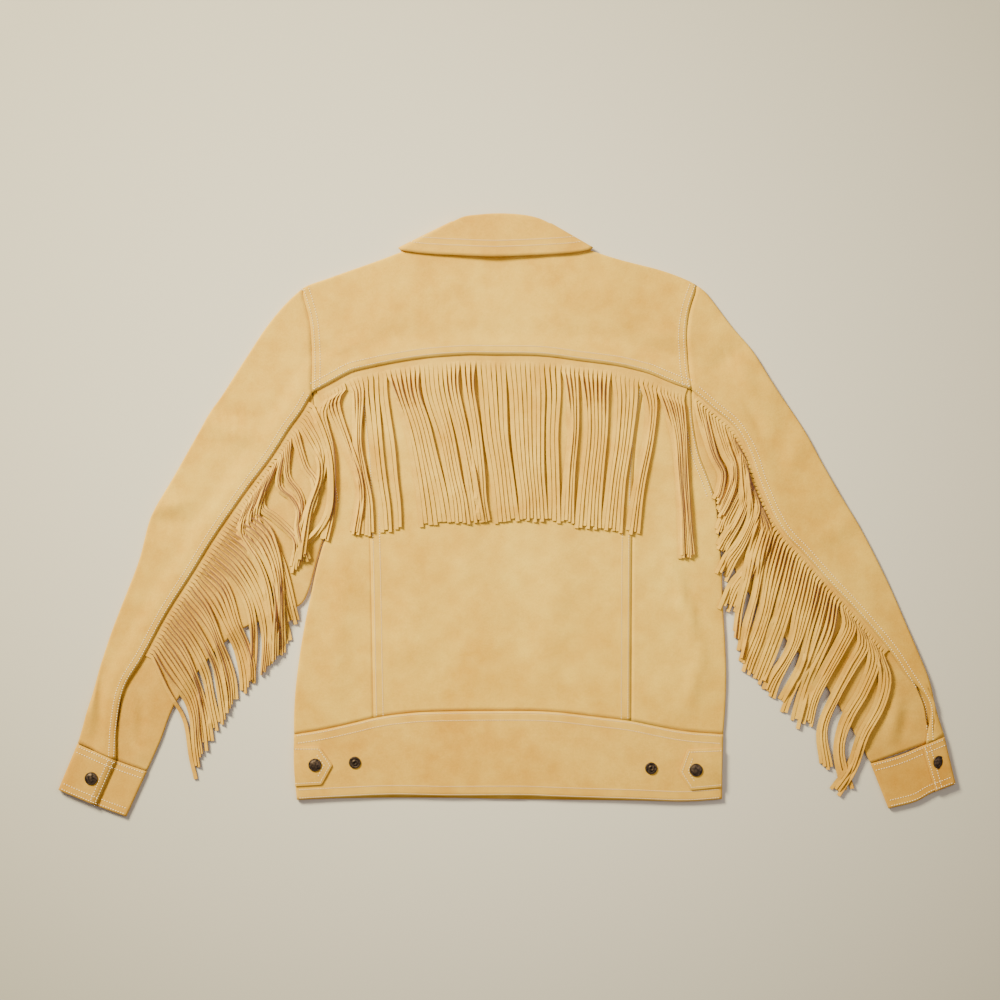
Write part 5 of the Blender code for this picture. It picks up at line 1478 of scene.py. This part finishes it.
# %% [markdown]
# What lies on the cloth
#
# Stitches, snaps and fringe all rest on cloth that already has its shape. A ray sent straight down on the
# finished pieces finds the height and the slope at any place, so nothing has to be fitted by eye.

# %% Finding the cloth from above
SKY = 60.0


class Pile:
    """Finished pieces as one surface that can be asked for its height from above."""

    def __init__(self, pieces):
        verts = []
        faces = []
        depsgraph = bpy.context.evaluated_depsgraph_get()
        for piece in pieces:
            shape = piece.evaluated_get(depsgraph)
            data = shape.to_mesh()
            first = len(verts)
            verts += [vert.co / MM for vert in data.vertices]
            faces += [[first + index for index in face.vertices] for face in data.polygons]
            shape.to_mesh_clear()
        self.tree = BVHTree.FromPolygons(verts, faces)

    def below(self, place):
        """The point and the normal of the surface under a place, or nothing."""
        hit = self.tree.ray_cast(Vector((place.x, place.y, SKY)), Vector((0, 0, -1)))
        return (hit[0], hit[1]) if hit[0] else (None, None)


table_pile = Pile(cloth.values())
print("cloth faces to lie on:", sum(len(piece.data.polygons) for piece in cloth.values()))

# %% [markdown]
# Topstitching
#
# Two rows of thick cream thread run beside every seam. A dashed line painted on would do from afar, but real
# thread stands proud and catches light, so each stitch is a small bead of thread, turned along its seam.
# There are thousands, so each has only twenty faces and all of one area are joined in one piece.

# %% Stitches
STITCH = {"pitch": 3.0, "length": 2.2, "width": 1.0, "height": 0.7}
SUNK = 0.25
AHEAD = 1.0
STEEPEST_STEP = 0.8
LEAST_LEVEL = 0.5
LEAST_WAY = 0.1
# HOLE is the flat dark disc at each stitch, painted shade for its needle hole.
HOLE = {"radius": 0.42, "corners": 6, "deep": 0.12}


def needle_hole_shade(hole_shades, spot, turn):
    """A flat dark plug level with the cloth: painted shade for the hole that the needle pushed through."""
    place = Matrix.Translation(spot * MM) @ turn
    radius = HOLE["radius"] * MM
    bmesh.ops.create_cone(hole_shades, cap_ends=True, segments=HOLE["corners"], radius1=radius, radius2=radius,
                          depth=HOLE["deep"] * MM, matrix=place)


def stitch_row(beads, hole_shades, line, pile):
    """Sews one row along a line of plan points, on whatever cloth is under it."""
    whole = lengths(line)[-1]
    count = int(whole / STITCH["pitch"])
    made = 0
    for index in range(count):
        reached = (index + 0.5) * whole / count
        spot, normal = pile.below(along(line, reached))
        onward, _ = pile.below(along(line, min(reached + AHEAD, whole)))
        if spot is None or onward is None:
            continue
        if abs(spot.z - onward.z) > STEEPEST_STEP or normal.z < LEAST_LEVEL:
            continue
        way = (onward - spot).normalized() if (onward - spot).length > LEAST_WAY else Vector((1, 0, 0))
        side = normal.cross(way).normalized()
        up = way.cross(side)
        turn = Matrix((way, side, up)).transposed().to_4x4()
        needle_hole_shade(hole_shades, spot - way * (STITCH["pitch"] / 2), turn)
        size = Matrix.Diagonal((STITCH["length"] / 2, STITCH["width"] / 2, STITCH["height"] / 2, 1))
        spot = (spot + up * (STITCH["height"] * SUNK)) * MM
        place = Matrix.Translation(spot) @ turn @ Matrix.Scale(MM, 4) @ size
        bmesh.ops.create_icosphere(beads, subdivisions=1, radius=1.0, matrix=place)
        made += 1
    return made


def sew(name, lines, pile):
    """Joins all rows of one area in one piece of thread."""
    beads = bmesh.new()
    # The dark discs of painted needle-hole shade go in a piece of their own.
    hole_shades = bmesh.new()
    made = sum(stitch_row(beads, hole_shades, line, pile) for line in lines)
    for face in beads.faces:
        face.smooth = True
    for part, finish, suffix in ((beads, "thread", ""), (hole_shades, "needle_hole_shade", "_hole_shades")):
        piece = shaped(name + suffix, part)
        piece.data.materials.append(finishes[finish])
        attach(piece, "root")
    print(name, "stitches:", made)


# %% Where the rows run
# The distance of each row from its seam, and how far it stops short of the seam's two ends
ROWS = {
    "yoke": ((3.4, 10.4), (2, 2)),
    "armhole": ((2.4, 8.2), (1, 3)),
    "low_armhole": ((2.4, 8.2), (20, 4)),
    "panel": ((2.6, 10.2), (16, 2)),
    "band_top": ((2.2, 10.6), (3, 3)),
    "band_hem": ((2.0, 11.4), (3, 3)),
    "sleeve": ((2.6, 8.4), (4, 4)),
    "cuff_top": ((2.6, 9.2), (3, 3)),
    "cuff_end": ((2.4, 9.0), (3, 3)),
    "collar": ((11.5, 18.4), (6, 6)),
}
OVERLAP_ROWS = (2.6, 8.6)
OVERLAP_SHORT = 3
ROW_CELL = 4
TAB_ROWS = [{"toward_middle": 0.13, "corners": slice(0, 5), "cells": 6},
            {"toward_middle": 0.42, "corners": slice(1, 4), "cells": 4}]


def rows_beside(line, side, kind):
    """The rows that run to the left (1) or right (-1) of a seam."""
    distances, (start, stop) = ROWS[kind]
    rows = []
    for distance in distances:
        row = inset(line, side, distance)
        cells = max(2, int((lengths(row)[-1] - start - stop) / ROW_CELL))
        rows.append(spaced(row, cells, start, stop))
    return rows


# %% Rows on the body
rows = rows_beside(jacket.yoke_seam, 1, "yoke")
for name, hand in HANDS.items():
    rows += rows_beside(smooth(ARMHOLE[name]["upper"]), hand, "armhole")
sew("stitches_yoke", rows, table_pile)

rows = []
for name, hand in HANDS.items():
    rows += rows_beside(smooth(BACK_SEAM[name]), hand, "panel")
    rows += rows_beside(smooth(ARMHOLE[name]["lower"]), hand, "low_armhole")
sew("stitches_back", rows, table_pile)

rows = rows_beside(seam_line(BAND_TOP), -1, "band_top")
rows += rows_beside(smooth(BAND_HEM), 1, "band_hem")
sew("stitches_waistband", rows, table_pile)

# %% Rows on the sleeves and cuffs
for name, hand in HANDS.items():
    top = smooth(CUFF_TOP[name])
    end = smooth(CUFF_END[name])
    rows = rows_beside(smooth(SLEEVE_SEAM[name]), -hand, "sleeve")
    rows += rows_beside(top, -hand, "cuff_top")
    rows += rows_beside(end, hand, "cuff_end")
    share = CUFF_OVERLAP[name]["outer_end"]
    overlap = spaced([point_at(top, share), point_at(end, share)], CUFF_CELLS, OVERLAP_SHORT, OVERLAP_SHORT)
    rows += [inset(overlap, -hand, distance) for distance in OVERLAP_ROWS]
    sew("stitches_sleeve_" + name, rows, table_pile)

# %% Rows on the collar and tabs
fall = [station["edge"] for station in jacket.collar_back]
sew("stitches_collar", rows_beside(fall, 1, "collar"), table_pile)

rows = []
for name in "LR":
    outline = [Vector(point) for point in TAB_OUTLINE[name]]
    middle = sum(outline, Vector((0, 0))) / len(outline)
    for plan in TAB_ROWS:
        ring = [point.lerp(middle, plan["toward_middle"]) for point in outline]
        ring[0].x, ring[-1].x = outline[0].x, outline[-1].x
        chosen = ring[plan["corners"]]
        rows.append(join(*(spaced(side, plan["cells"]) for side in zip(chosen, chosen[1:]))))
sew("stitches_tabs", rows, table_pile)

# %% [markdown]
# Fringe
#
# Each strip of fringe was slit with a blade into strands about five millimetres apart. Where the strip runs
# level the strands hang side by side; where it slants they fan out, bend down and crowd together, each one
# lying partly over the next like roof shingles. So a strand is a narrow ribbon on a curve through a few
# guide places, it leans by as much as its neighbour crowds it, and it rests on what the ray finds below it.
# Loose groups of strands are pulled together at mid-length, which opens the eye-shaped gaps between them.

# %% Where the strands go
STRAND_WALL = 1.4
STRIP_INSIDE = 8.0
ROOT_STEP = 6.0
SOFTEN = 3
STATIONS = 22
LOOSE = {"least": 2, "most": 6, "pull": (0.0, 0.5), "where": (0.45, 0.8), "turned": (1.0, 1.35),
         "longer": (-6.0, 4.0)}
SWAYS_FROM = 0.25
PULL_SPAN = 0.24
SWAY = {"height": 9.0, "across": 4.0, "down": 2.2}
QUIVER = {"height": 0.8, "across": 0.9, "down": 2.8}

# Guides say where a strand bends, where it is low down and where its tip is, for some roots along the seam
FRINGES = [
    {
        "name": "fringe_back", "seam": YOKE_SEAM, "out": -1, "width": 4.9, "plain": 7.0,
        "start": 5.0, "stop": 5.0, "jitter": 3.0, "seed": 3,
    },
    {
        "name": "fringe_sleeve_L", "seam": SLEEVE_SEAM["L"], "out": 1, "width": 4.4, "plain": 2.6,
        "start": 11.0, "stop": 128.0, "jitter": 5.0, "seed": 5,
        "guides": [
            (0.00, (-205, 92), (-202, 25), (-211, -50)),
            (0.08, (-216, 72), (-211, 5), (-219, -76)),
            (0.18, (-231, 45), (-224, -18), (-230, -100)),
            (0.30, (-250, 8), (-240, -52), (-244, -131)),
            (0.42, (-272, -16), (-256, -84), (-257, -156)),
            (0.52, (-293, -48), (-272, -100), (-275, -168)),
            (0.60, (-314, -68), (-293, -112), (-289, -189)),
            (0.66, (-325, -86), (-304, -137), (-297, -196)),
            (0.71, (-340, -103), (-319, -152), (-307, -210)),
            (0.82, (-360, -133), (-339, -176), (-328, -234)),
            (0.91, (-375, -160), (-354, -208), (-347, -264)),
            (0.96, (-384, -180), (-361, -228), (-353, -288)),
            (1.00, (-392, -198), (-369, -243), (-359, -306)),
        ],
    },
    {
        "name": "fringe_sleeve_R", "seam": SLEEVE_SEAM["R"], "out": -1, "width": 4.4, "plain": 2.6,
        "start": 11.0, "stop": 120.0, "jitter": 5.0, "seed": 8,
        "guides": [
            (0.00, (207, 98), (204, 42), (207, -36)),
            (0.08, (220, 80), (216, 24), (219, -52)),
            (0.16, (238, 60), (232, 4), (231, -70)),
            (0.25, (250, 36), (246, -18), (243, -92)),
            (0.35, (266, -4), (260, -48), (252, -112)),
            (0.42, (279, -30), (271, -78), (259, -137)),
            (0.50, (298, -56), (288, -102), (269, -166)),
            (0.58, (319, -80), (305, -130), (283, -190)),
            (0.66, (340, -102), (324, -156), (301, -203)),
            (0.74, (360, -124), (340, -176), (324, -226)),
            (0.82, (382, -148), (358, -204), (345, -248)),
            (0.90, (402, -172), (378, -234), (368, -288)),
            (1.00, (430, -206), (408, -262), (399, -312)),
        ],
    },
]

# Locks that the strands gather in: where along the seam each ends, and its strands; for one given in full
# also how far its strands turn on edge, how wide it is at five places, and where these are
LOCK_ROWS = {
    "fringe_back": [
        (0.032, 3, 0.3, (12, 6, 6, 7, 9), ((-213, 116), (-201, 75), (-199, 36), (-202, 4), (-210, -29))),
        (0.076, 4, 0.9, (18, 12, 9, 9, 10), ((-200, 127), (-186, 86), (-172, 47), (-169, 18), (-175, -21))),
        (0.127, 4, 0.9, (14, 9, 10, 13, 16),
         ((-171, 139), (-172, 87), (-167, 52), (-161, 18), (-160, -22))),
        (0.173, 3, 0.4, (18, 16, 15, 14, 14),
         ((-155, 133), (-150, 87), (-145, 41), (-141, 12), (-139, -17))),
        (0.193, 2, 0.0, (9, 9, 8, 8, 8), ((-141, 133), (-133, 81), (-129, 41), (-126, 12), (-125, -13))),
        (0.284, 7, 1.1, (30, 30, 33, 36, 38), ((-114, 137), (-102, 98), (-92, 52), (-86, 20), (-82, -10))),
        (0.344, 5, 0.0, (24, 20, 19, 20, 22), ((-84, 139), (-71, 93), (-62, 47), (-56, 18), (-53, -9))),
        (0.392, 4, 1.1, (17, 14, 14, 15, 17), ((-62, 141), (-52, 98), (-43, 52), (-38, 20), (-34, -7))),
        (0.435, 3, 1.0, (14, 12, 11, 11, 13), ((-43, 142), (-36, 98), (-31, 52), (-29, 20), (-25, -7))),
        (0.513, 6, 0.0, (32, 29, 27, 28, 30), ((-16, 139), (-13, 93), (-7, 52), (-3, 20), (0, -7))),
        (0.616, 8, 0.0, (42, 38, 33, 31, 33), ((23, 139), (24, 93), (26, 52), (29, 20), (30, -6))),
        (0.662, 3, 0.5, (17, 14, 14, 15, 16), ((54, 139), (52, 93), (53, 52), (54, 20), (54, -6))),
        (0.709, 4, 1.1, (15, 12, 13, 14, 16), ((75, 141), (76, 98), (72, 52), (70, 20), (69, -7))),
        (0.795, 7, 1.1, (30, 27, 27, 28, 30), ((102, 135), (102, 93), (98, 52), (95, 20), (93, -13))),
        (0.872, 6, 0.2, (27, 23, 22, 23, 26), ((136, 129), (132, 87), (126, 47), (123, 18), (120, -17))),
        (0.925, 4, 0.7, (13, 11, 12, 13, 16), ((166, 124), (162, 87), (153, 43), (148, 13), (144, -20))),
        (1.0, 8, 1.0, (24, 16, 13, 14, 18), ((192, 124), (198, 87), (201, 41), (204, -3), (206, -47))),
    ],
    "fringe_sleeve_L": [
        (0.03, 2, 0.3, (7, 6, 7, 6, 9), ((-206, 75), (-202, 35), (-205, 4), (-217, -17), (-235, -35))),
        (0.07, 3, 0.6, (10, 9, 9, 7, 8), ((-213, 78), (-213, 52), (-221, 24), (-232, -5), (-239, -34))),
        (0.095, 2, 0.0, (7, 6, 5, 5, 6), ((-221, 75), (-215, 62), (-216, 39), (-227, 6), (-235, -47))),
        (0.135, 3, 0.7, (8, 8, 6, 5, 7), ((-232, 56), (-221, 41), (-221, 20), (-230, -10), (-237, -55))),
        (0.172, 3, 0.9, (7, 7, 6, 5, 8), ((-253, 47), (-240, 28), (-235, 12), (-238, -12), (-241, -49))),
        (0.21, 3, 0.9, (7, 7, 6, 5, 7), ((-262, 35), (-247, 20), (-239, 4), (-240, -17), (-229, -51))),
        (0.252, 3, 0.6, (9, 9, 8, 7, 9), ((-282, 14), (-267, -2), (-250, -18), (-241, -32), (-246, -63))),
        (0.316, 5, 0.5, (18, 18, 20, 18, 18),
         ((-292, -3), (-278, -26), (-267, -47), (-258, -74), (-247, -122))),
        (0.371, 4, 0.9, (12, 11, 13, 14, 18),
         ((-301, -12), (-290, -37), (-277, -57), (-266, -88), (-256, -143))),
        (0.41, 3, 0.9, (8, 7, 8, 9, 11),
         ((-307, -17), (-298, -35), (-286, -53), (-275, -86), (-267, -152))),
        (1.0, 41),
    ],
    "fringe_sleeve_R": [
        (0.059, 5, 0.9, (10, 9, 8, 8, 8), ((231, 87), (238, 66), (247, 48), (244, 27), (240, 18))),
        (0.127, 5, 0.6, (13, 10, 10, 10, 10), ((250, 75), (258, 57), (258, 37), (250, 16), (243, 2))),
        (0.197, 5, 0.0, (17, 13, 12, 13, 14), ((268, 57), (266, 32), (258, 13), (250, -3), (245, -17))),
        (0.264, 5, 0.2, (15, 11, 12, 14, 15), ((272, 40), (272, 16), (264, -6), (253, -24), (246, -37))),
        (0.335, 5, 0.6, (14, 11, 13, 17, 18), ((283, 12), (279, -9), (268, -32), (256, -49), (247, -68))),
        (0.412, 6, 0.9, (14, 11, 15, 20, 22),
         ((296, -17), (288, -43), (275, -65), (263, -83), (254, -106))),
        (0.79, 28),
        (0.85, 5, 0.8, (18, 16, 14, 13, 15),
         ((393, -127), (381, -152), (363, -185), (351, -212), (344, -240))),
        (0.9, 4, 0.8, (16, 14, 12, 12, 15),
         ((409, -147), (394, -175), (376, -209), (362, -247), (367, -289))),
        (0.95, 4, 0.8, (16, 14, 13, 12, 16),
         ((421, -165), (408, -201), (390, -233), (381, -270), (390, -311))),
        (1.0, 4, 0.8, (15, 14, 13, 12, 15),
         ((434, -185), (427, -217), (408, -252), (397, -287), (379, -315))),
    ],
}
LOCK_SAYS = ("to", "strands", "turned", "wide", "spine")
LOCKS = {node: [dict(zip(LOCK_SAYS, row)) for row in rows] for node, rows in LOCK_ROWS.items()}
print("locks placed by hand:", sum("spine" in row for rows in LOCKS.values() for row in rows))

# %% How the strands run
def softened(directions):
    """Directions along a line, each averaged with its neighbours."""
    padded = [directions[0]] * SOFTEN + directions + [directions[-1]] * SOFTEN
    return [sum(padded[index:index + 2 * SOFTEN + 1], Vector((0, 0))).normalized()
            for index in range(len(directions))]


def strand_groups(rows):
    """The locks that a fringe falls into; a row without a spine is left to fall in uneven ones."""
    groups = []
    start = 0.0
    for row in rows:
        left = row["strands"]
        step = (row["to"] - start) / left
        while "spine" not in row and left > 0:
            size = min(left, random.randint(LOOSE["least"], LOOSE["most"]))
            left -= size
            group = {key: random.uniform(*LOOSE[key]) for key in ("turned", "pull", "where", "longer")}
            groups.append({**group, "to": row["to"] - left * step, "strands": size})
        if "spine" in row:
            groups.append(row)
        start = row["to"]
    return groups


def root_shares(groups):
    """Where each slit starts, as shares of the fringed seam."""
    shares = [0.0]
    for group in groups:
        start = shares[-1]
        step = (group["to"] - start) / group["strands"]
        shares += [start + step * (index + 1) for index in range(group["strands"])]
    return shares


def placed_strand(group, index, plan):
    """The places that one strand of a lock with a given spine passes."""
    spine = [Vector(point) for point in group["spine"]]
    shift = ((index + 0.5) / group["strands"] - 0.5) * -plan["out"]
    return [point + side * (wide * shift) for point, side, wide in zip(spine, left_of(spine), group["wide"])]


def guided_strand(guides, root):
    """The places that a strand passes, read between the rows of the fringe's guides."""
    for here, after in zip(guides, guides[1:]):
        if root <= after[0]:
            share = (root - here[0]) / (after[0] - here[0])
            return [Vector(first).lerp(Vector(last), share) for first, last in zip(here[1:], after[1:])]
    return [Vector(place) for place in guides[-1][1:]]


def strand_lines(plan, group, first, shares, roots, outward):
    """The ways of a lock's strands from the strip to their tips, as evenly spaced plan points."""
    lines = []
    for index in range(group["strands"]):
        slit = first + index
        start = (roots[slit] + roots[slit + 1]) / 2
        out = (outward[slit] + outward[slit + 1]).normalized()
        aims = [start + out * ROOT_STEP]
        if "spine" in group:
            aims += placed_strand(group, index, plan)
        else:
            aims += guided_strand(plan["guides"], (shares[slit] + shares[slit + 1]) / 2)
        down = (aims[-1] - aims[-2]).normalized()
        aims[-1] = aims[-1] + down * (random.uniform(-1, 1) * plan["jitter"] + group.get("longer", 0.0))
        lines.append(spaced(smooth([start, *aims]), STATIONS))
    return lines


def swayed(lines, group, first, seed):
    """Draws a loose lock together at its waist, and lets every strand waver a little."""
    middle = lines[len(lines) // 2]
    wavering = []
    for index, line in enumerate(lines):
        sides = left_of(line)
        places = []
        for station, point in enumerate(line):
            share = station / STATIONS
            grown = soft_step(share / SWAYS_FROM)
            quick = noise.noise(Vector(((first + index) * QUIVER["across"], share * QUIVER["down"], -seed)))
            shift = QUIVER["height"] * quick
            place = point
            if "pull" in group:
                together = group["pull"] * math.exp(-((share - group["where"]) / PULL_SPAN) ** 2)
                place = point.lerp(middle[station], together * grown)
                slow = noise.noise(Vector((first / SWAY["across"], share * SWAY["down"], seed)))
                shift += SWAY["height"] * slow * share
            places.append(place + sides[station] * (shift * grown))
        wavering.append(places)
    return wavering


# %% How each strand lies
FLOOR_CLEAR = 0.7
STRAND_CLEAR = 0.25
STEEPEST = 0.22
LEAN_MOST = 0.88
TURN_AT = 0.12
TURN_SPAN = {"placed": 0.15, "loose": 0.30}
TURN_UNEVEN = 0.04
KEPT_TURN = (0.6, 1.0)
ROOT_SHARE = 0.08
TILT_LEAST = (0.10, 0.28)
TILT_WAVERS = 0.04
WIDTH_VARIES = (0.88, 1.04)
LEAN_FROM = 0.2
LEAN_CLEAR = 1.05
CLOSEST = 0.6
LIFT = 1.6
CELL = 2.0
CELL_FROM = 4
FOOT = 0.2


class Laid:
    """How high the strands that already lie reach, kept per small cell of the plan."""

    def __init__(self):
        self.cells = {}

    def cell(self, place):
        return round(place.x / CELL), round(place.y / CELL)

    def top(self, place):
        return self.cells.get(self.cell(place), 0.0)

    def add(self, line, sides, width, heights):
        """Notes one strand, with the places between its stations."""
        for station in range(CELL_FROM, len(line) - 1):
            for part in (0.0, 0.25, 0.5, 0.75):
                place = line[station].lerp(line[station + 1], part)
                top = heights[station] + (heights[station + 1] - heights[station]) * part + STRAND_WALL / 2
                for share in (-FOOT, FOOT):
                    key = self.cell(place + sides[station] * (width * share))
                    self.cells[key] = max(self.cells.get(key, 0.0), top)


def strand_heights(line, sides, width, lift, pile, laid):
    """Heights along a strand that clear what is below and change no faster than suede bends."""
    needs = []
    for station, (point, side) in enumerate(zip(line, sides)):
        tops = []
        for share in (-0.5, 0.0, 0.5):
            spot, _ = pile.below(point + side * (width * share))
            tops.append(spot.z + STRAND_CLEAR if spot else FLOOR_CLEAR)
        if station >= CELL_FROM:
            tops += [laid.top(point + side * (width * share)) + STRAND_CLEAR for share in (-FOOT, 0.0, FOOT)]
        needs.append(max(tops) + STRAND_WALL / 2 + lift * math.sin(math.pi * station / STATIONS))
    needs[0] = STRIP
    for order in (range(1, len(line)), range(len(line) - 2, -1, -1)):
        for index in order:
            other = index - 1 if order.step > 0 else index + 1
            fall = STEEPEST * (line[index] - line[other]).length
            if index:
                needs[index] = max(needs[index], needs[other] - fall)
    return needs


def lean(lines, index, station, width):
    """How steeply a strand lies at a station so that it clears the neighbour that it lies on."""
    if index == 0:
        return 0.0
    side = left_of(lines[index])[station]
    apart = abs((lines[index - 1][station] - lines[index][station]).dot(side))
    if apart >= width + LEAN_FROM:
        return 0.0
    return math.asin(min(LEAN_MOST, STRAND_WALL * LEAN_CLEAR / max(apart, CLOSEST)))


def lay_strand(sheet, edge, line, sides, heights, width, tilts):
    """Carries one slit of the strip on into a strand, station by station."""
    across = (edge[1].co.xy - edge[0].co.xy).normalized()
    for station in range(1, STATIONS + 1):
        grown = soft_step(station / STATIONS / ROOT_SHARE)
        tilt = tilts[station] * grown
        side = across.lerp(sides[station], grown).normalized()
        half = width / 2 * math.cos(tilt)
        rise = width / 2 * math.sin(tilt)
        height = heights[station] + abs(rise)
        place = line[station]
        edge = sheet.carry_on(edge, [Vector((*(place - side * half), height + rise)),
                                     Vector((*(place + side * half), height - rise))])


def fringe(plan, pile):
    """A strip sewn into a seam, slit into strands that lie over what is below."""
    node = plan["name"]
    random.seed(plan["seed"])
    line = seam_line(plan["seam"])
    groups = strand_groups(LOCKS[node])
    shares = root_shares(groups)
    whole = lengths(line)[-1] - plan["start"] - plan["stop"]
    roots = [along(line, plan["start"] + whole * share) for share in shares]
    outward = softened([way * plan["out"] for way in left_of(roots)])
    inside = moved(roots, outward, [-STRIP_INSIDE] * len(roots))
    outside = moved(roots, outward, [plan["plain"]] * len(roots))
    sheet = Sheet(raised([inside, outside], lambda point: STRIP))
    front_edge = sheet.row(1)
    firsts = [sum(group["strands"] for group in groups[:index]) for index in range(len(groups))]
    laid = Laid()
    order = list(range(len(groups)))
    random.shuffle(order)
    for number in order:
        group, first = groups[number], firsts[number]
        lines = strand_lines(plan, group, first, shares, outside, outward)
        lines = swayed(lines, group, first, plan["seed"])
        lift = LIFT * random.random()
        turn_span = TURN_SPAN["placed" if "spine" in group else "loose"]
        done = []
        for index, strand in enumerate(lines):
            width = plan["width"] * random.uniform(*WIDTH_VARIES)
            sides = [side * -plan["out"] for side in left_of(strand)]
            heights = strand_heights(strand, sides, width, lift, pile, laid)
            tilts = []
            most = group["turned"] * random.uniform(*KEPT_TURN)
            least = random.uniform(*TILT_LEAST)
            turn_at = TURN_AT + random.uniform(-TURN_UNEVEN, TURN_UNEVEN)
            for station in range(STATIONS + 1):
                share = station / STATIONS
                turned = most * math.exp(-((share - turn_at) / turn_span) ** 2)
                own = lean(lines, index, station, width)
                wavers = random.uniform(-TILT_WAVERS, TILT_WAVERS)
                tilts.append(plan["out"] * (max(own, turned, least) + wavers))
            slit = first + index
            lay_strand(sheet, front_edge[slit:slit + 2], strand, sides, heights, width, tilts)
            done.append((strand, sides, width, heights))
        for strand in done:
            laid.add(*strand)
    finish_fringe(sheet, node)


def finish_fringe(sheet, node):
    """Gives a fringe its thickness, with painted shade on its strands' sides. It keeps its crisp edges, so
    it isn't rounded.
    """
    piece = sheet.finish(node, STRAND_WALL, creased=False)
    piece.modifiers.remove(piece.modifiers["softer"])
    for face in piece.data.polygons:
        face.use_smooth = False
    # The strands' sides get the dark brown finish, painted shade between crowded strands.
    piece.data.materials.append(finishes["suede_rim_shade"])
    piece.modifiers["wall"].material_offset_rim = 1


pile = table_pile
for plan in FRINGES:
    fringe(plan, pile)
    if plan["name"] == "fringe_back":
        pile = Pile(cloth.values())
print("strands:", sum(row["strands"] for rows in LOCKS.values() for row in rows))

# %% [markdown]
# Snaps
#
# The snaps are pressed brass, blackened and worn. A closed one shows a domed cap with a rolled rim, and an
# open one its stud, a ring with a raised spring in the middle. Both are turned shapes, so each is a short
# profile spun once round.

# %% Snaps
SPIN_STEPS = 40
METAL_SHARP = 60
CAP_PROFILE = [(0.0, 2.35), (2.2, 2.3), (4.2, 2.0), (5.6, 1.45), (6.2, 1.2), (6.6, 1.35), (7.1, 1.35),
               (7.45, 1.0), (7.5, 0.4), (7.3, 0.0)]
STUD_PROFILE = [(0.0, 1.5), (1.1, 1.5), (1.4, 3.1), (1.9, 3.4), (2.5, 3.3), (2.8, 2.8), (2.4, 1.6),
                (3.4, 1.0), (4.3, 1.1), (4.8, 1.7), (5.4, 1.8), (6.0, 1.5), (6.4, 1.6), (6.8, 1.2),
                (6.9, 0.5), (6.8, 0.0)]
SNAPS = [
    {"name": "snap_tab_L", "kind": "cap", "place": (-220.2, -286.0, 7.8)},
    {"name": "snap_tab_R", "kind": "cap", "place": (216.8, -291.8, 7.8)},
    {"name": "snap_cuff_L", "kind": "cap", "place": (-476.7, -301.5, 7.7)},
    {"name": "snap_cuff_R", "kind": "cap", "place": (495.0, -282.8, 7.4), "tilt": 24, "about": (0.2, 1, 0)},
    {"name": "snap_stud_L", "kind": "stud", "place": (-174.6, -283.4, 5.7)},
    {"name": "snap_stud_R", "kind": "stud", "place": (165.4, -290.0, 5.7)},
]


def snap(entry):
    """A snap part, turned about its own middle and set where the solid is."""
    profile = CAP_PROFILE if entry["kind"] == "cap" else STUD_PROFILE
    turned = bmesh.new()
    verts = [turned.verts.new((x, 0.0, z)) for x, z in profile]
    edges = [turned.edges.new(pair) for pair in zip(verts, verts[1:])]
    bmesh.ops.spin(turned, geom=verts + edges, cent=(0, 0, 0), axis=(0, 0, 1), dvec=(0, 0, 0),
                   angle=math.tau, steps=SPIN_STEPS, use_merge=True, use_duplicate=False)
    bmesh.ops.remove_doubles(turned, verts=turned.verts[:], dist=0.001)
    rim = [edge for edge in turned.edges if edge.is_boundary]
    bmesh.ops.contextual_create(turned, geom=rim)
    bmesh.ops.recalc_face_normals(turned, faces=turned.faces[:])
    tilt = Matrix.Rotation(math.radians(entry.get("tilt", 0.0)), 4, Vector(entry.get("about", (0, 1, 0))))
    place = Matrix.Translation(Vector(entry["place"]) * MM) @ tilt @ Matrix.Scale(MM, 4)
    bmesh.ops.transform(turned, matrix=place, verts=turned.verts[:])
    for face in turned.faces:
        face.smooth = True
    piece = shaped("metal_" + entry["name"], turned)
    piece.data.set_sharp_from_angle(angle=math.radians(METAL_SHARP))
    stand_for(piece, entry["name"])


for entry in SNAPS:
    snap(entry)
print("snaps:", len(SNAPS))
